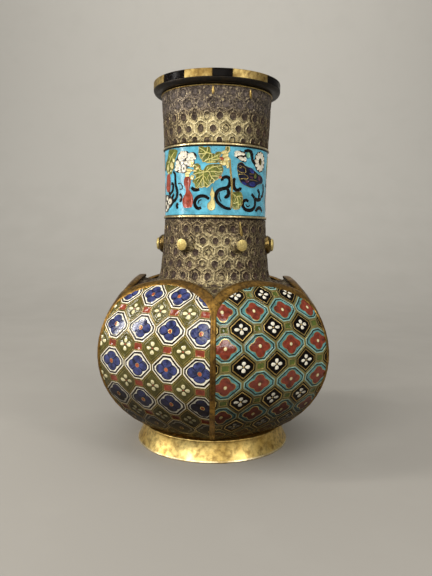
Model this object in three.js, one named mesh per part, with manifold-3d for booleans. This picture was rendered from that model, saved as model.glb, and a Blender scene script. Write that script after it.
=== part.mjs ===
// Six-sided enamelled bronze bottle vase: bulb, neck, rim and foot with inlaid enamel.
// Millimetres, +Z up, the origin under the middle of the foot. Azimuth 0 is the front (-Y), + is right.

import * as THREE from 'three';
import { mergeVertices, toCreasedNormals } from 'three/addons/utils/BufferGeometryUtils.js';
import Module from 'manifold-3d';

// Fits: the gap round each enamel inlay and each soldered or pressed seat
const clearance = 0.3;

// Foot ring and base plate
const footHeight = 14;
const footRadius = 54;
const footLandWidth = 6;
const footEdgeRound = 0.8;
const footGrooveRadius = 49.4;
const footGrooveDrop = 1.7;
const footBeadProud = 1;
const footFlarePower = 1.4;
const footWall = 4.5;
const plateRadius = 43;
const plateThickness = 3;
const plateLedge = 3;

// Bulb: a six-sided barrel whose sides bow out a little between the ridges
const panelCount = 6;
const bulbRadius = 86.7;
const bulbFootRadius = 48.9;
const archTipRadius = 70.4;
const bulbLowerHeight = 54.5;
const bulbUpperHeight = 38.5;
const archRise = 10.8;
const panelBow = 3.6;
const bulbWall = 3.5;

// Arched lip on top of each panel, and the lobed shoulder sunk inside the lips
const lipWidth = 2.6;
const lipRise = 1.8;
const shoulderWall = 3.3;
const shoulderCurve = 1.6;
const valleyRadius = 44.5;
const valleyRise = 6.5;
const collarRise = 15;
const collarRadius = 38.4;
const collarWall = 3.1;

// Enamel panels, inlaid between the ridge borders, the arch border and the foot border
const ridgeBorder = 1.8;
const archBorder = 3;
const tipBorder = 8;
const footBorder = 1.6;
const enamelDepth = 1.2;

// Neck tube, waisted between the collar and the rim
const neckLength = 120;
const neckWaistRise = 49;
const neckWaistRadius = 35.4;
const neckTopRadius = 38.2;
const neckWall = 3.2;
const spigotWall = 2.8;
const spigotLength = 11;
const collarFlarePower = 2;
const topFlarePower = 1.5;

// Channel round the neck that holds two brass rings with the enamel band between them
const channelRise = 35;
const channelLength = 49;
const channelDepth = 1.4;
const ringHeight = 2.1;
const ringProud = 0.7;

// Studs on the neck, set by hand; turns in degrees of azimuth
const studTurns = [25.5, 84, 145, 206, 267, 328.5];
const studRise = 18;
const studRadius = 6.3;
const studFaceRadius = 4.1;
const studProud = 5.2;
const studSeatDepth = 1.2;
const studFlangeHeight = 0.8;

// Rim lip with enamel blocks let into its upright face; spans in degrees of azimuth
const rimHeight = 8;
const rimOverhang = 5.6;
const rimRound = 2.9;
const rimTopRound = 0.6;
const rimSpigotHeight = 3;
const rimSpigotWall = 1.5;
const rimBlockDepth = 1.2;
const rimBlockEdge = 0.2;
const rimBlockSpans = [
  [-108, -80], [-52, -28], [-4, 13], [48, 94], [120, 146], [170, 194], [216, 232],
];

// Facets
const turnSegments = 40;
const studSegments = 14;
const panelColumns = 8;
const panelRows = 8;
const bulbRows = 9;
const innerRows = 5;
const curveSteps = 4;

// Levels, stacked from the foot up, and radii that follow from others
const bulbMiddleLevel = footHeight + bulbLowerHeight;
const archTipLevel = bulbMiddleLevel + bulbUpperHeight;
const valleyLevel = archTipLevel + valleyRise;
const collarLevel = archTipLevel + collarRise;
const rimLevel = collarLevel + neckLength;
const totalHeight = rimLevel + rimHeight;
const waistLevel = collarLevel + neckWaistRise;
const channelLevel = collarLevel + channelRise;
const channelTop = channelLevel + channelLength;
const studLevel = collarLevel + studRise;
const rimRadius = neckTopRadius + rimOverhang;
const footBeadRadius = footGrooveRadius + footBeadProud;

const bronze = { color: 0x6e6250, roughness: 0.5, metalness: 0.9 };
const brass = { color: 0xd8bd66, roughness: 0.3, metalness: 1 };
const oliveEnamel = { color: 0x6b6f35, roughness: 0.2, metalness: 0 };
const turquoiseEnamel = { color: 0x6fb8b6, roughness: 0.2, metalness: 0 };
const skyEnamel = { color: 0x69c6df, roughness: 0.25, metalness: 0 };
const blackEnamel = { color: 0x151312, roughness: 0.15, metalness: 0 };

const wasm = await Module();
wasm.setup();

const vase = new THREE.Group();
vase.name = 'vase';

function addPart(name, geometry, finish) {
  const shaded = toCreasedNormals(geometry, Math.PI / 6);
  const mesh = new THREE.Mesh(shaded, new THREE.MeshStandardMaterial(finish));
  mesh.name = name;
  vase.add(mesh);
}

// Joins and cuts

function toSolid(geometry) {
  const bare = geometry.clone();
  bare.deleteAttribute('normal');
  bare.deleteAttribute('uv');
  const merged = mergeVertices(bare);
  const vertProperties = new Float32Array(merged.attributes.position.array);
  const triVerts = new Uint32Array(merged.index.array);
  return new wasm.Manifold(new wasm.Mesh({ numProp: 3, vertProperties, triVerts }));
}

function toGeometry(solid) {
  const mesh = solid.getMesh();
  const geometry = new THREE.BufferGeometry();
  geometry.setAttribute('position', new THREE.BufferAttribute(mesh.vertProperties, 3));
  geometry.setIndex(new THREE.BufferAttribute(mesh.triVerts, 1));
  return geometry;
}

// A closed outline of [radius, height] pairs, listed anticlockwise, turned about +Z
function revolve(outline, segments = turnSegments) {
  const points = [...outline, outline[0]].map(([radius, height]) => new THREE.Vector2(radius, height));
  return new THREE.LatheGeometry(points, segments).rotateX(Math.PI / 2);
}

// Points of a quarter round from one [radius, height] pair to another
function quarterRound(start, end, leavesUpright, steps = curveSteps) {
  const points = [];
  for (let step = 0; step <= steps; step += 1) {
    const turn = (step / steps) * (Math.PI / 2);
    const across = leavesUpright ? 1 - Math.cos(turn) : Math.sin(turn);
    const along = leavesUpright ? Math.sin(turn) : 1 - Math.cos(turn);
    points.push([start[0] + (end[0] - start[0]) * across, start[1] + (end[1] - start[1]) * along]);
  }
  return points;
}

// A closed skin over a grid of points that wraps round in both directions
function closedLoop(columns) {
  const rowCount = columns[0].length;
  const index = [];
  columns.forEach((column, columnNumber) => {
    const nextColumn = (columnNumber + 1) % columns.length;
    for (let row = 0; row < rowCount; row += 1) {
      const nextRow = (row + 1) % rowCount;
      const a = columnNumber * rowCount + row;
      const b = nextColumn * rowCount + row;
      const c = nextColumn * rowCount + nextRow;
      const d = columnNumber * rowCount + nextRow;
      index.push(a, b, c, a, c, d);
    }
  });
  return new THREE.BufferGeometry().setFromPoints(columns.flat()).setIndex(index);
}

// A closed slab between a front and a back sheet, each given as a function of share and row
function slab(frontPoint, backPoint, columnCount, rowCount) {
  const columns = [];
  for (let column = 0; column <= columnCount; column += 1) {
    const share = Math.sin((column / columnCount - 0.5) * Math.PI);
    const front = [];
    const back = [];
    for (let row = 0; row <= rowCount; row += 1) {
      front.push(frontPoint(share, row / rowCount));
      back.push(backPoint(share, row / rowCount));
    }
    columns.push([...front, ...back.reverse()]);
  }
  const loopLength = columns[0].length;
  const index = [];
  for (let column = 0; column < columnCount; column += 1) {
    for (let place = 0; place < loopLength; place += 1) {
      const nextPlace = (place + 1) % loopLength;
      const a = column * loopLength + place;
      const b = a + loopLength;
      const c = (column + 1) * loopLength + nextPlace;
      const d = column * loopLength + nextPlace;
      index.push(a, b, c, a, c, d);
    }
  }
  const lastColumn = columnCount * loopLength;
  for (let row = 0; row < rowCount; row += 1) {
    const mirror = loopLength - 1 - row;
    index.push(row, row + 1, mirror - 1, row, mirror - 1, mirror);
    index.push(lastColumn + row + 1, lastColumn + row, lastColumn + mirror);
    index.push(lastColumn + row + 1, lastColumn + mirror, lastColumn + mirror - 1);
  }
  return new THREE.BufferGeometry().setFromPoints(columns.flat()).setIndex(index);
}

// Bulb surface

const halfPanelAngle = Math.PI / panelCount;
const bulbApothem = bulbRadius * Math.cos(halfPanelAngle);
const lowerReach = bulbLowerHeight / Math.sqrt(1 - (bulbFootRadius / bulbRadius) ** 2);
const upperReach = bulbUpperHeight / Math.sqrt(1 - (archTipRadius / bulbRadius) ** 2);

function bulbApothemAt(height, inset) {
  const rise = height - bulbMiddleLevel;
  const reach = (rise < 0 ? lowerReach : upperReach) - inset;
  return (bulbApothem - inset) * Math.sqrt(1 - (rise / reach) ** 2);
}

// A point on a panel: share runs from -1 to 1 between the ridges, less an edge width at each
function panelPoint(panel, share, height, inset, edge = 0) {
  const apothem = bulbApothemAt(height, inset);
  const halfWidth = apothem * Math.tan(halfPanelAngle);
  const across = share * (halfWidth - edge);
  const out = apothem + panelBow * (1 - (across / halfWidth) ** 2);
  const azimuth = (2 * panel + 1) * halfPanelAngle;
  const x = out * Math.sin(azimuth) + across * Math.cos(azimuth);
  const y = -out * Math.cos(azimuth) + across * Math.sin(azimuth);
  return new THREE.Vector3(x, y, height);
}

function archLevel(share, rise) {
  return archTipLevel + rise * Math.sqrt(Math.max(0, 1 - share * share));
}

// The enamel's arch springs lower than the lip's, so the border widens towards the ridges
function enamelTopLevel(share) {
  const rise = archRise - archBorder + tipBorder;
  return archLevel(share, rise) - tipBorder;
}

// One enamel panel, or the pocket for it when grown by a clearance
function enamelSlab(panel, frontInset, backInset, growth) {
  const pointAt = (inset) => (share, row) => {
    const bottom = footHeight + footBorder - growth;
    const top = enamelTopLevel(share) + growth;
    return panelPoint(panel, share, bottom + row * (top - bottom), inset, ridgeBorder - growth);
  };
  return slab(pointAt(frontInset), pointAt(backInset), panelColumns, panelRows);
}

// Section of the bulb casting at one place across one panel, as a closed loop
const boreRadius = collarRadius - collarWall;

function bulbSection(panel, share) {
  const loop = [];
  const archTop = archLevel(share, archRise);
  for (let row = 0; row <= bulbRows; row += 1) {
    const height = footHeight + (row / bulbRows) * (archTop - footHeight);
    loop.push(panelPoint(panel, share, height, 0));
  }
  loop.push(panelPoint(panel, share, archTop, lipWidth));
  const shoulderEnd = panelPoint(panel, share, archTop - lipRise, lipWidth);
  const outward = new THREE.Vector3(shoulderEnd.x, shoulderEnd.y, 0).normalize();
  const onTurn = (radius, height) => outward.clone().multiplyScalar(radius).setZ(height);
  const valley = onTurn(valleyRadius, valleyLevel);
  for (let step = curveSteps; step > 0; step -= 1) {
    const share = step / curveSteps;
    const height = valleyLevel + (shoulderEnd.z - valleyLevel) * share ** shoulderCurve;
    loop.push(valley.clone().lerp(shoulderEnd, share).setZ(height));
  }
  const fillet = quarterRound([collarRadius, collarLevel], [valleyRadius, valleyLevel], true);
  fillet.reverse().forEach(([radius, height]) => loop.push(onTurn(radius, height)));
  loop.push(onTurn(boreRadius, collarLevel));
  loop.push(onTurn(boreRadius, valleyLevel - shoulderWall));
  loop.push(onTurn(valleyRadius, valleyLevel - shoulderWall));
  const innerTop = shoulderEnd.z - shoulderWall;
  for (let row = innerRows; row >= 0; row -= 1) {
    const height = footHeight + (row / innerRows) * (innerTop - footHeight);
    loop.push(panelPoint(panel, share, height, bulbWall));
  }
  return loop;
}

// Bulb casting with a pocket for each enamel panel

const bulbColumns = [];
for (let panel = 0; panel < panelCount; panel += 1) {
  for (let column = 0; column < panelColumns; column += 1) {
    const share = Math.sin((column / panelColumns - 0.5) * Math.PI);
    bulbColumns.push(bulbSection(panel, share));
  }
}
let bulb = toSolid(closedLoop(bulbColumns));
const pocketOverrun = 2;
for (let panel = 0; panel < panelCount; panel += 1) {
  bulb = bulb.subtract(toSolid(enamelSlab(panel, -pocketOverrun, enamelDepth + clearance, clearance)));
  const finish = panel % 2 === 0 ? turquoiseEnamel : oliveEnamel;
  addPart(`enamel_panel_${panel + 1}`, enamelSlab(panel, 0, enamelDepth, 0), finish);
}
addPart('bulb_casting', toGeometry(bulb), bronze);

// Neck tube with its spigots, and the channel for the rings and the band

function neckRadiusAt(height) {
  const rise = height - waistLevel;
  if (rise < 0) {
    return neckWaistRadius + (collarRadius - neckWaistRadius) * (-rise / neckWaistRise) ** collarFlarePower;
  }
  const share = rise / (rimLevel - waistLevel);
  return neckWaistRadius + (neckTopRadius - neckWaistRadius) * share ** topFlarePower;
}

// Points along the neck wall between two heights, set off from its outer face
function neckWallLine(fromHeight, toHeight, offset, steps = curveSteps) {
  const points = [];
  for (let step = 0; step <= steps; step += 1) {
    const height = fromHeight + (step / steps) * (toHeight - fromHeight);
    points.push([neckRadiusAt(height) + offset, height]);
  }
  return points;
}

const spigotRadius = boreRadius - clearance;
const spigotBore = spigotRadius - spigotWall;
const rimSpigotRadius = neckTopRadius - rimSpigotWall;
const neckTopBore = neckTopRadius - neckWall;
const neckTube = revolve([
  [spigotBore, collarLevel - spigotLength],
  [spigotRadius, collarLevel - spigotLength],
  [spigotRadius, collarLevel],
  ...neckWallLine(collarLevel, channelLevel, 0),
  ...neckWallLine(channelLevel, channelTop, -channelDepth),
  ...neckWallLine(channelTop, rimLevel, 0),
  [rimSpigotRadius, rimLevel],
  [rimSpigotRadius, rimLevel + rimSpigotHeight],
  [neckTopBore, rimLevel + rimSpigotHeight],
  ...neckWallLine(waistLevel, rimLevel, -neckWall).reverse(),
  [spigotBore, collarLevel],
]);
addPart('neck_tube', neckTube, bronze);

// Half-round ring whose flat back lies in the channel, from one height up
function neckRing(bottom) {
  const middle = bottom + ringHeight / 2;
  const back = neckRadiusAt(middle) - channelDepth + clearance;
  const face = neckRadiusAt(middle);
  return revolve([
    [back, bottom],
    ...quarterRound([face, bottom], [face + ringProud, middle], false, 2),
    ...quarterRound([face + ringProud, middle], [face, bottom + ringHeight], true, 2).slice(1),
    [back, bottom + ringHeight],
  ]);
}

const lowerRingLevel = channelLevel + clearance;
const upperRingLevel = channelTop - clearance - ringHeight;
addPart('neck_ring_lower', neckRing(lowerRingLevel), brass);
addPart('neck_ring_upper', neckRing(upperRingLevel), brass);

const bandBottom = lowerRingLevel + ringHeight + clearance;
const bandTop = upperRingLevel - clearance;
const neckBand = revolve([
  ...neckWallLine(bandBottom, bandTop, 0),
  ...neckWallLine(bandBottom, bandTop, clearance - channelDepth).reverse(),
]);
addPart('neck_band_enamel', neckBand, skyEnamel);

// Trumpet-shaped studs, each hollowed at its back to sit on the round neck

const neckSeat = toSolid(revolve([
  [0, collarLevel],
  ...neckWallLine(collarLevel, channelLevel, clearance),
  [0, channelLevel],
]));
studTurns.forEach((turn, stud) => {
  const azimuth = THREE.MathUtils.degToRad(turn);
  const seatRadius = neckRadiusAt(studLevel);
  const head = revolve([
    [0, -studSeatDepth],
    [studRadius, -studSeatDepth],
    [studRadius, studFlangeHeight],
    ...quarterRound([studRadius, studFlangeHeight], [studFaceRadius, studProud], false).slice(1),
    [0, studProud],
  ], studSegments);
  head.rotateX(Math.PI / 2).translate(0, -seatRadius, studLevel).rotateZ(azimuth);
  addPart(`neck_stud_${stud + 1}`, toGeometry(toSolid(head).subtract(neckSeat)), brass);
});

// Rim lip: a half-round moulding under an upright face, bored out and stepped to fit the neck

const faceBottom = rimLevel + rimRound;
const faceTop = totalHeight - rimTopRound;
let rim = toSolid(revolve([
  [rimSpigotRadius + clearance, rimLevel],
  ...quarterRound([rimRadius - rimRound, rimLevel], [rimRadius, faceBottom], false),
  ...quarterRound([rimRadius, faceTop], [rimRadius - rimTopRound, totalHeight], true, 2),
  [neckTopBore, totalHeight],
  [neckTopBore, rimLevel + rimSpigotHeight + clearance],
  [rimSpigotRadius + clearance, rimLevel + rimSpigotHeight + clearance],
]));

// A block of the rim's face between two azimuths, or its pocket when grown by a clearance
function rimBlock([startDegrees, endDegrees], innerRadius, outerRadius, growth) {
  const growthAngle = growth / rimRadius;
  const start = THREE.MathUtils.degToRad(startDegrees - 90) - growthAngle;
  const end = THREE.MathUtils.degToRad(endDegrees - 90) + growthAngle;
  const outline = new THREE.Shape();
  outline.absarc(0, 0, outerRadius, start, end, false);
  outline.absarc(0, 0, innerRadius, end, start, true);
  const depth = faceTop - faceBottom - 2 * rimBlockEdge + 2 * growth;
  const settings = { depth, bevelEnabled: false, curveSegments: curveSteps };
  return new THREE.ExtrudeGeometry(outline, settings).translate(0, 0, faceBottom + rimBlockEdge - growth);
}

const blockBack = rimRadius - rimBlockDepth;
rimBlockSpans.forEach((span, number) => {
  rim = rim.subtract(toSolid(rimBlock(span, blockBack - clearance, rimRadius + pocketOverrun, clearance)));
  addPart(`rim_enamel_${number + 1}`, rimBlock(span, blockBack, rimRadius, 0), blackEnamel);
});
addPart('rim_lip', toGeometry(rim), brass);

// Foot ring under the bulb, hollow below, with a ledge that carries the base plate

const footBore = plateRadius - plateLedge;
const footGrooveLevel = footHeight - footGrooveDrop;
const footFlare = [];
for (let step = 0; step <= curveSteps; step += 1) {
  const share = step / curveSteps;
  const radius = footGrooveRadius + (footRadius - footGrooveRadius) * (1 - share) ** footFlarePower;
  footFlare.push([radius, footEdgeRound + share * (footGrooveLevel - footEdgeRound)]);
}
const footRing = revolve([
  [footRadius - footEdgeRound - footLandWidth, 0],
  [footRadius - footEdgeRound, 0],
  ...footFlare,
  [footBeadRadius, footGrooveLevel + footGrooveDrop / 3],
  [footBeadRadius, footHeight - footGrooveDrop / 3],
  [footGrooveRadius, footHeight],
  [plateRadius + clearance, footHeight],
  [plateRadius + clearance, footHeight - plateThickness],
  [footBore, footHeight - plateThickness],
  [footBore, footHeight - plateThickness - footWall],
]);
addPart('foot_ring', footRing, brass);

const basePlate = new THREE.CylinderGeometry(plateRadius, plateRadius, plateThickness, turnSegments);
basePlate.rotateX(Math.PI / 2).translate(0, 0, footHeight - plateThickness / 2);
addPart('base_plate', basePlate, bronze);

export default vase;
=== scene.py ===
import bisect
import bmesh
import bpy
import math
import random
from mathutils import Matrix, Vector, noise


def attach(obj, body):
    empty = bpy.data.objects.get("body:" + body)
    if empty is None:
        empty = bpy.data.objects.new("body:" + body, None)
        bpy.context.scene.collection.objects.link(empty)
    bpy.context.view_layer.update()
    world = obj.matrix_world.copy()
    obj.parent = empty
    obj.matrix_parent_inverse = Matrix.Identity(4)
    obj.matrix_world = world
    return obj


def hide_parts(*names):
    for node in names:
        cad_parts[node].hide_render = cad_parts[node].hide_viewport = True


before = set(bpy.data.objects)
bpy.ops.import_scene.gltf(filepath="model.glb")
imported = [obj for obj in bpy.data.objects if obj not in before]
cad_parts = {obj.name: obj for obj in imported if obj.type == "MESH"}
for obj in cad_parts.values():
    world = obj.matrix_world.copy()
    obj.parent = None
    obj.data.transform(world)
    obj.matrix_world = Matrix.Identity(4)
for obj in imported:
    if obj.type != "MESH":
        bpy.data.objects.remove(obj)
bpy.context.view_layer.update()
scene = bpy.context.scene
scene.view_settings.view_transform = "Standard"
noise.seed_set(4)  # hand work wanders the same way in every run
print("frame loaded with", len(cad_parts), "nodes")

# sizes of the vase in millimetres, as in the part
form = {
    "panels": 6, "ridgeRadius": 86.7, "footRadius": 48.9, "tipRadius": 70.4,
    "base": 14.0, "lowHeight": 54.5, "highHeight": 38.5, "bow": 3.6, "wall": 3.5,
    "archRise": 10.8, "lipWidth": 2.6, "lipRise": 1.8, "shoulderWall": 3.3, "shoulderCurve": 1.6,
    "valleyRadius": 44.5, "valleyRise": 6.5, "collarRadius": 38.4, "collarRise": 15.0, "boreRadius": 35.3,
    "ridgeBorder": 1.8, "archBorder": 3.0, "tipBorder": 8.0, "footBorder": 1.6,
    "waistRadius": 35.4, "waistRise": 49.0, "neckTopRadius": 38.2, "neckLength": 120.0,
    "skin": 0.7,  # thickness of the chased skin on neck and shoulder
}
mm = 0.001
middleLevel = form["base"] + form["lowHeight"]
tipLevel = middleLevel + form["highHeight"]
valleyLevel = tipLevel + form["valleyRise"]
collarLevel = tipLevel + form["collarRise"]
waistLevel = collarLevel + form["waistRise"]
rimLevel = collarLevel + form["neckLength"]
halfPanel = math.pi / form["panels"]


# camera and room

view = {
    "spot": (0.00119, -0.40874, 0.14698), "down": 5.37, "roll": 0.79, "focus": 571.0,
    "imageWidth": 432, "imageHeight": 576, "sensor": 36.0, "nearest": 0.01,
}
room = {
    "floorTint": (157, 153, 146), "wallTint": (182, 179, 172), "skyTint": (212, 211, 207), "skyLight": 0.36,
    "floorHalf": 1.5, "wallHeight": 3.0, "sweep": 0.9, "sweepSteps": 16, "paperRough": 0.8,
    "shadeRange": (0.1, 1.3), "mottleSize": 14.0, "mottleDetail": 3, "mottleRange": (0.3, 0.7),
    "mottle": 0.08,
    "warm": (1.0, 0.97, 0.92), "pale": (1.0, 0.98, 0.95),
    "lamps": {  # place, aim, width, height, power and colour
        "leftStrip": ((-0.78, -0.17, 0.48), (0, 0, 0.12), 0.05, 0.62, 4.2, "warm"),
        "frontSoftbox": ((-0.46, -0.68, 0.62), (0, 0, 0.12), 0.34, 0.50, 3.5, "warm"),
        "rightSoftbox": ((0.62, -0.62, 0.56), (0, 0, 0.10), 0.16, 0.50, 2.3, "warm"),
        "overhead": ((0.0, -0.15, 1.05), (0, 0, 0.12), 0.9, 0.7, 3.6, "pale"),
        "frontCard": ((0.02, -0.90, 0.50), (0, 0, 0.06), 0.5, 0.4, 1.9, "warm"),
        "backdropWash": ((0.0, 0.55, 1.3), (0, 1.5, 0.75), 1.6, 0.4, 11.0, "pale"),
    },
}


# a screen colour from 0 to 255 as the linear one that shaders read
def tint(red, green, blue):
    def linear(value):
        value = value / 255
        return value / 12.92 if value <= 0.04045 else ((value + 0.055) / 1.055) ** 2.4
    return (linear(red), linear(green), linear(blue), 1.0)


def placeCamera():
    data = bpy.data.cameras.new("photoCamera")
    data.sensor_fit = "VERTICAL"
    data.sensor_height = view["sensor"]
    data.lens = view["focus"] / view["imageHeight"] * view["sensor"]
    data.clip_start = view["nearest"]
    camera = bpy.data.objects.new("photoCamera", data)
    scene.collection.objects.link(camera)
    tilt = Matrix.Rotation(math.radians(90 - view["down"]), 4, "X")
    roll = Matrix.Rotation(math.radians(view["roll"]), 4, "Z")
    camera.matrix_world = Matrix.Translation(view["spot"]) @ tilt @ roll
    scene.camera = camera


def makeFloor():
    sheet = bmesh.new()
    bmesh.ops.create_grid(sheet, x_segments=1, y_segments=1, size=room["floorHalf"])
    backEdge = [edge for edge in sheet.edges if all(vert.co.y > 0 for vert in edge.verts)]
    grown = bmesh.ops.extrude_edge_only(sheet, edges=backEdge)
    wall = [part for part in grown["geom"] if isinstance(part, bmesh.types.BMVert)]
    bmesh.ops.translate(sheet, vec=(0, 0, room["wallHeight"]), verts=wall)
    bmesh.ops.bevel(sheet, geom=backEdge, offset=room["sweep"], offset_type="OFFSET", affect="EDGES",
                    segments=room["sweepSteps"], profile=0.5, material=-1)
    bmesh.ops.recalc_face_normals(sheet, faces=sheet.faces)
    mesh = bpy.data.meshes.new("floor")
    sheet.to_mesh(mesh)
    sheet.free()
    mesh.shade_smooth()
    floor = bpy.data.objects.new("floor", mesh)
    scene.collection.objects.link(floor)
    paper, tree, shader, spot = newFinish("floorPaper")
    back = addRange(tree, addAxis(tree, spot, "Y"), *room["shadeRange"])
    blots = addNoise(tree, spot, room["mottleSize"], room["mottleDetail"])
    mottle = addRange(tree, blots, *room["mottleRange"], -room["mottle"], room["mottle"])
    shade = addMath(tree, "ADD", back, mottle)
    tone = addMix(tree, shade, tint(*room["floorTint"]), tint(*room["wallTint"]))
    tree.links.new(tone, shader.inputs["Base Color"])
    shader.inputs["Roughness"].default_value = room["paperRough"]
    mesh.materials.append(paper)


def makeLight():
    world = bpy.data.worlds.new("studio")
    world.use_nodes = True
    scene.world = world
    air = world.node_tree.nodes["Background"]
    air.inputs["Color"].default_value = tint(*room["skyTint"])
    air.inputs["Strength"].default_value = room["skyLight"]
    for name, (spot, aim, width, height, power, colour) in room["lamps"].items():
        data = bpy.data.lights.new(name, "AREA")
        data.shape = "RECTANGLE"
        data.size = width
        data.size_y = height
        data.energy = power
        data.color = room[colour]
        lamp = bpy.data.objects.new(name, data)
        scene.collection.objects.link(lamp)
        facing = (Vector(aim) - Vector(spot)).to_track_quat("-Z", "Y")
        lamp.matrix_world = Matrix.Translation(spot) @ facing.to_matrix().to_4x4()


# surfaces of the vase

def apothemAt(height, inset=0.0):
    rise = height - middleLevel
    if rise < 0:
        reach = form["lowHeight"] / math.sqrt(1 - (form["footRadius"] / form["ridgeRadius"]) ** 2)
    else:
        reach = form["highHeight"] / math.sqrt(1 - (form["tipRadius"] / form["ridgeRadius"]) ** 2)
    flat = form["ridgeRadius"] * math.cos(halfPanel) - inset
    return flat * math.sqrt(max(0.0, 1 - (rise / (reach - inset)) ** 2))


def halfWidthAt(height, inset=0.0):
    return apothemAt(height, inset) * math.tan(halfPanel)


# share runs from -1 at the left ridge to 1 at the right one
def panelSpot(panel, share, height, inset=0.0):
    apothem = apothemAt(height, inset)
    across = share * apothem * math.tan(halfPanel)
    out = apothem + form["bow"] * (1 - share * share)
    azimuth = (2 * panel + 1) * halfPanel
    x = out * math.sin(azimuth) + across * math.cos(azimuth)
    y = -out * math.cos(azimuth) + across * math.sin(azimuth)
    return Vector((x, y, height))


def archAt(share, rise):
    return tipLevel + rise * math.sqrt(max(0.0, 1 - share * share))


# the enamel's arch springs lower than the lip's
def enamelTop(share):
    return archAt(share, form["archRise"] - form["archBorder"] + form["tipBorder"]) - form["tipBorder"]


def neckRadius(height):
    rise = height - waistLevel
    if rise < 0:
        flare = form["collarRadius"] - form["waistRadius"]
        return form["waistRadius"] + flare * (rise / form["waistRise"]) ** 2
    grow = form["neckTopRadius"] - form["waistRadius"]
    return form["waistRadius"] + grow * (rise / (rimLevel - waistLevel)) ** 1.5


def onTurn(azimuth, radius, height):
    return Vector((radius * math.sin(azimuth), -radius * math.cos(azimuth), height))


# node groups shared by the finishes: each reads a place on the piece and puts out plain values

def newGroup(name, settings, outputs):
    group = bpy.data.node_groups.new(name, "ShaderNodeTree")
    group.interface.new_socket("Spot", in_out="INPUT", socket_type="NodeSocketVector")
    for label, value in settings.items():
        socket = group.interface.new_socket(label, in_out="INPUT", socket_type="NodeSocketFloat")
        socket.default_value = value
    for label in outputs:
        group.interface.new_socket(label, in_out="OUTPUT", socket_type="NodeSocketFloat")
    return group, group.nodes.new("NodeGroupInput"), group.nodes.new("NodeGroupOutput")


def putOut(group, end, values):
    for label, value in values.items():
        group.links.new(value, end.inputs[label])


def addGroup(tree, group, spot):
    node = tree.nodes.new("ShaderNodeGroup")
    node.node_tree = group
    tree.links.new(spot, node.inputs["Spot"])
    return node


def addAxis(tree, spot, axis):
    parts = tree.nodes.new("ShaderNodeSeparateXYZ")
    tree.links.new(spot, parts.inputs[0])
    return parts.outputs[axis]


def addNoise(tree, spot, scale, detail, rough=0.55):
    cloud = tree.nodes.new("ShaderNodeTexNoise")
    cloud.inputs["Detail"].default_value = detail
    cloud.inputs["Roughness"].default_value = rough
    tree.links.new(spot, cloud.inputs["Vector"])
    if isinstance(scale, (int, float)):
        cloud.inputs["Scale"].default_value = scale
    else:
        tree.links.new(scale, cloud.inputs["Scale"])
    return cloud.outputs["Fac"]


def addRange(tree, value, low, high, start=0.0, end=1.0):
    ramp = tree.nodes.new("ShaderNodeMapRange")
    ramp.inputs["From Min"].default_value = low
    ramp.inputs["From Max"].default_value = high
    ramp.inputs["To Min"].default_value = start
    ramp.inputs["To Max"].default_value = end
    tree.links.new(value, ramp.inputs["Value"])
    return ramp.outputs["Result"]


def addMath(tree, kind, first, second=0.0):
    node = tree.nodes.new("ShaderNodeMath")
    node.operation = kind
    for place, value in enumerate((first, second)):
        if isinstance(value, (int, float)):
            node.inputs[place].default_value = value
        else:
            tree.links.new(value, node.inputs[place])
    return node.outputs["Value"]


def addMix(tree, share, first, second):
    mix = tree.nodes.new("ShaderNodeMix")
    mix.data_type = "RGBA"
    tree.links.new(share, mix.inputs["Factor"])
    for label, value in (("A", first), ("B", second)):
        if isinstance(value, tuple):
            mix.inputs[label].default_value = value
        else:
            tree.links.new(value, mix.inputs[label])
    return mix.outputs["Result"]


tarnishLook = {
    "cloudSize": 60.0, "cloudDetail": 6, "cloudRough": 0.62, "cloud": (0.36, 0.64), "cloudGrain": 0.4,
    "speckSize": 700.0, "speckDetail": 3, "speckRough": 0.6, "speck": (0.42, 0.66), "speckGrain": 0.6,
    "fleck": (0.44, 0.34), "fleckShare": 0.8, "grainDepth": 0.0004,
}


# tarnish in clouds, fine specks, and the grain that both give the surface
def makeTarnish():
    look = tarnishLook
    sizes = {"Cloud size": look["cloudSize"], "Speck size": look["speckSize"]}
    group, start, end = newGroup("tarnish", sizes, ("Cloud", "Speck", "Fleck", "Grain"))
    spot = start.outputs["Spot"]
    cloud = addNoise(group, spot, start.outputs["Cloud size"], look["cloudDetail"], look["cloudRough"])
    speck = addNoise(group, spot, start.outputs["Speck size"], look["speckDetail"], look["speckRough"])
    coarse = addMath(group, "MULTIPLY", cloud, look["cloudGrain"])
    fine = addMath(group, "MULTIPLY", speck, look["speckGrain"])
    putOut(group, end, {
        "Cloud": addRange(group, cloud, *look["cloud"]), "Speck": addRange(group, speck, *look["speck"]),
        "Fleck": addRange(group, speck, *look["fleck"]), "Grain": addMath(group, "ADD", coarse, fine)})
    return group


glassLook = {
    "toneSize": 260.0, "toneDetail": 4, "tone": (0.32, 0.68), "swell": 0.35,
    "pitSize": 620.0, "pit": (0.14, 0.24), "patchSize": 90.0, "patchDetail": 2, "patch": (0.42, 0.58),
    "skinSize": 900.0, "skinDetail": 3, "skin": 0.35, "grainDepth": 0.0003, "grainStrength": 0.25,
    # painted shade with grime: the enamel turns darker and duller towards the foot
    "shadeAndGrimeSize": 60.0, "shadeAndGrimeDetail": 5, "shadeAndGrimeShake": 0.03, "shadeAndGrimeLevels": (0.066, 0.028), "shadeAndGrime": 0.88,
    "shadeAndGrimeTint": (30, 22, 14), "shadedAndSoiled": (0.1, 0.7), "shadedAndSoiledRough": 0.5, "glossRange": 0.12,
}
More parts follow.
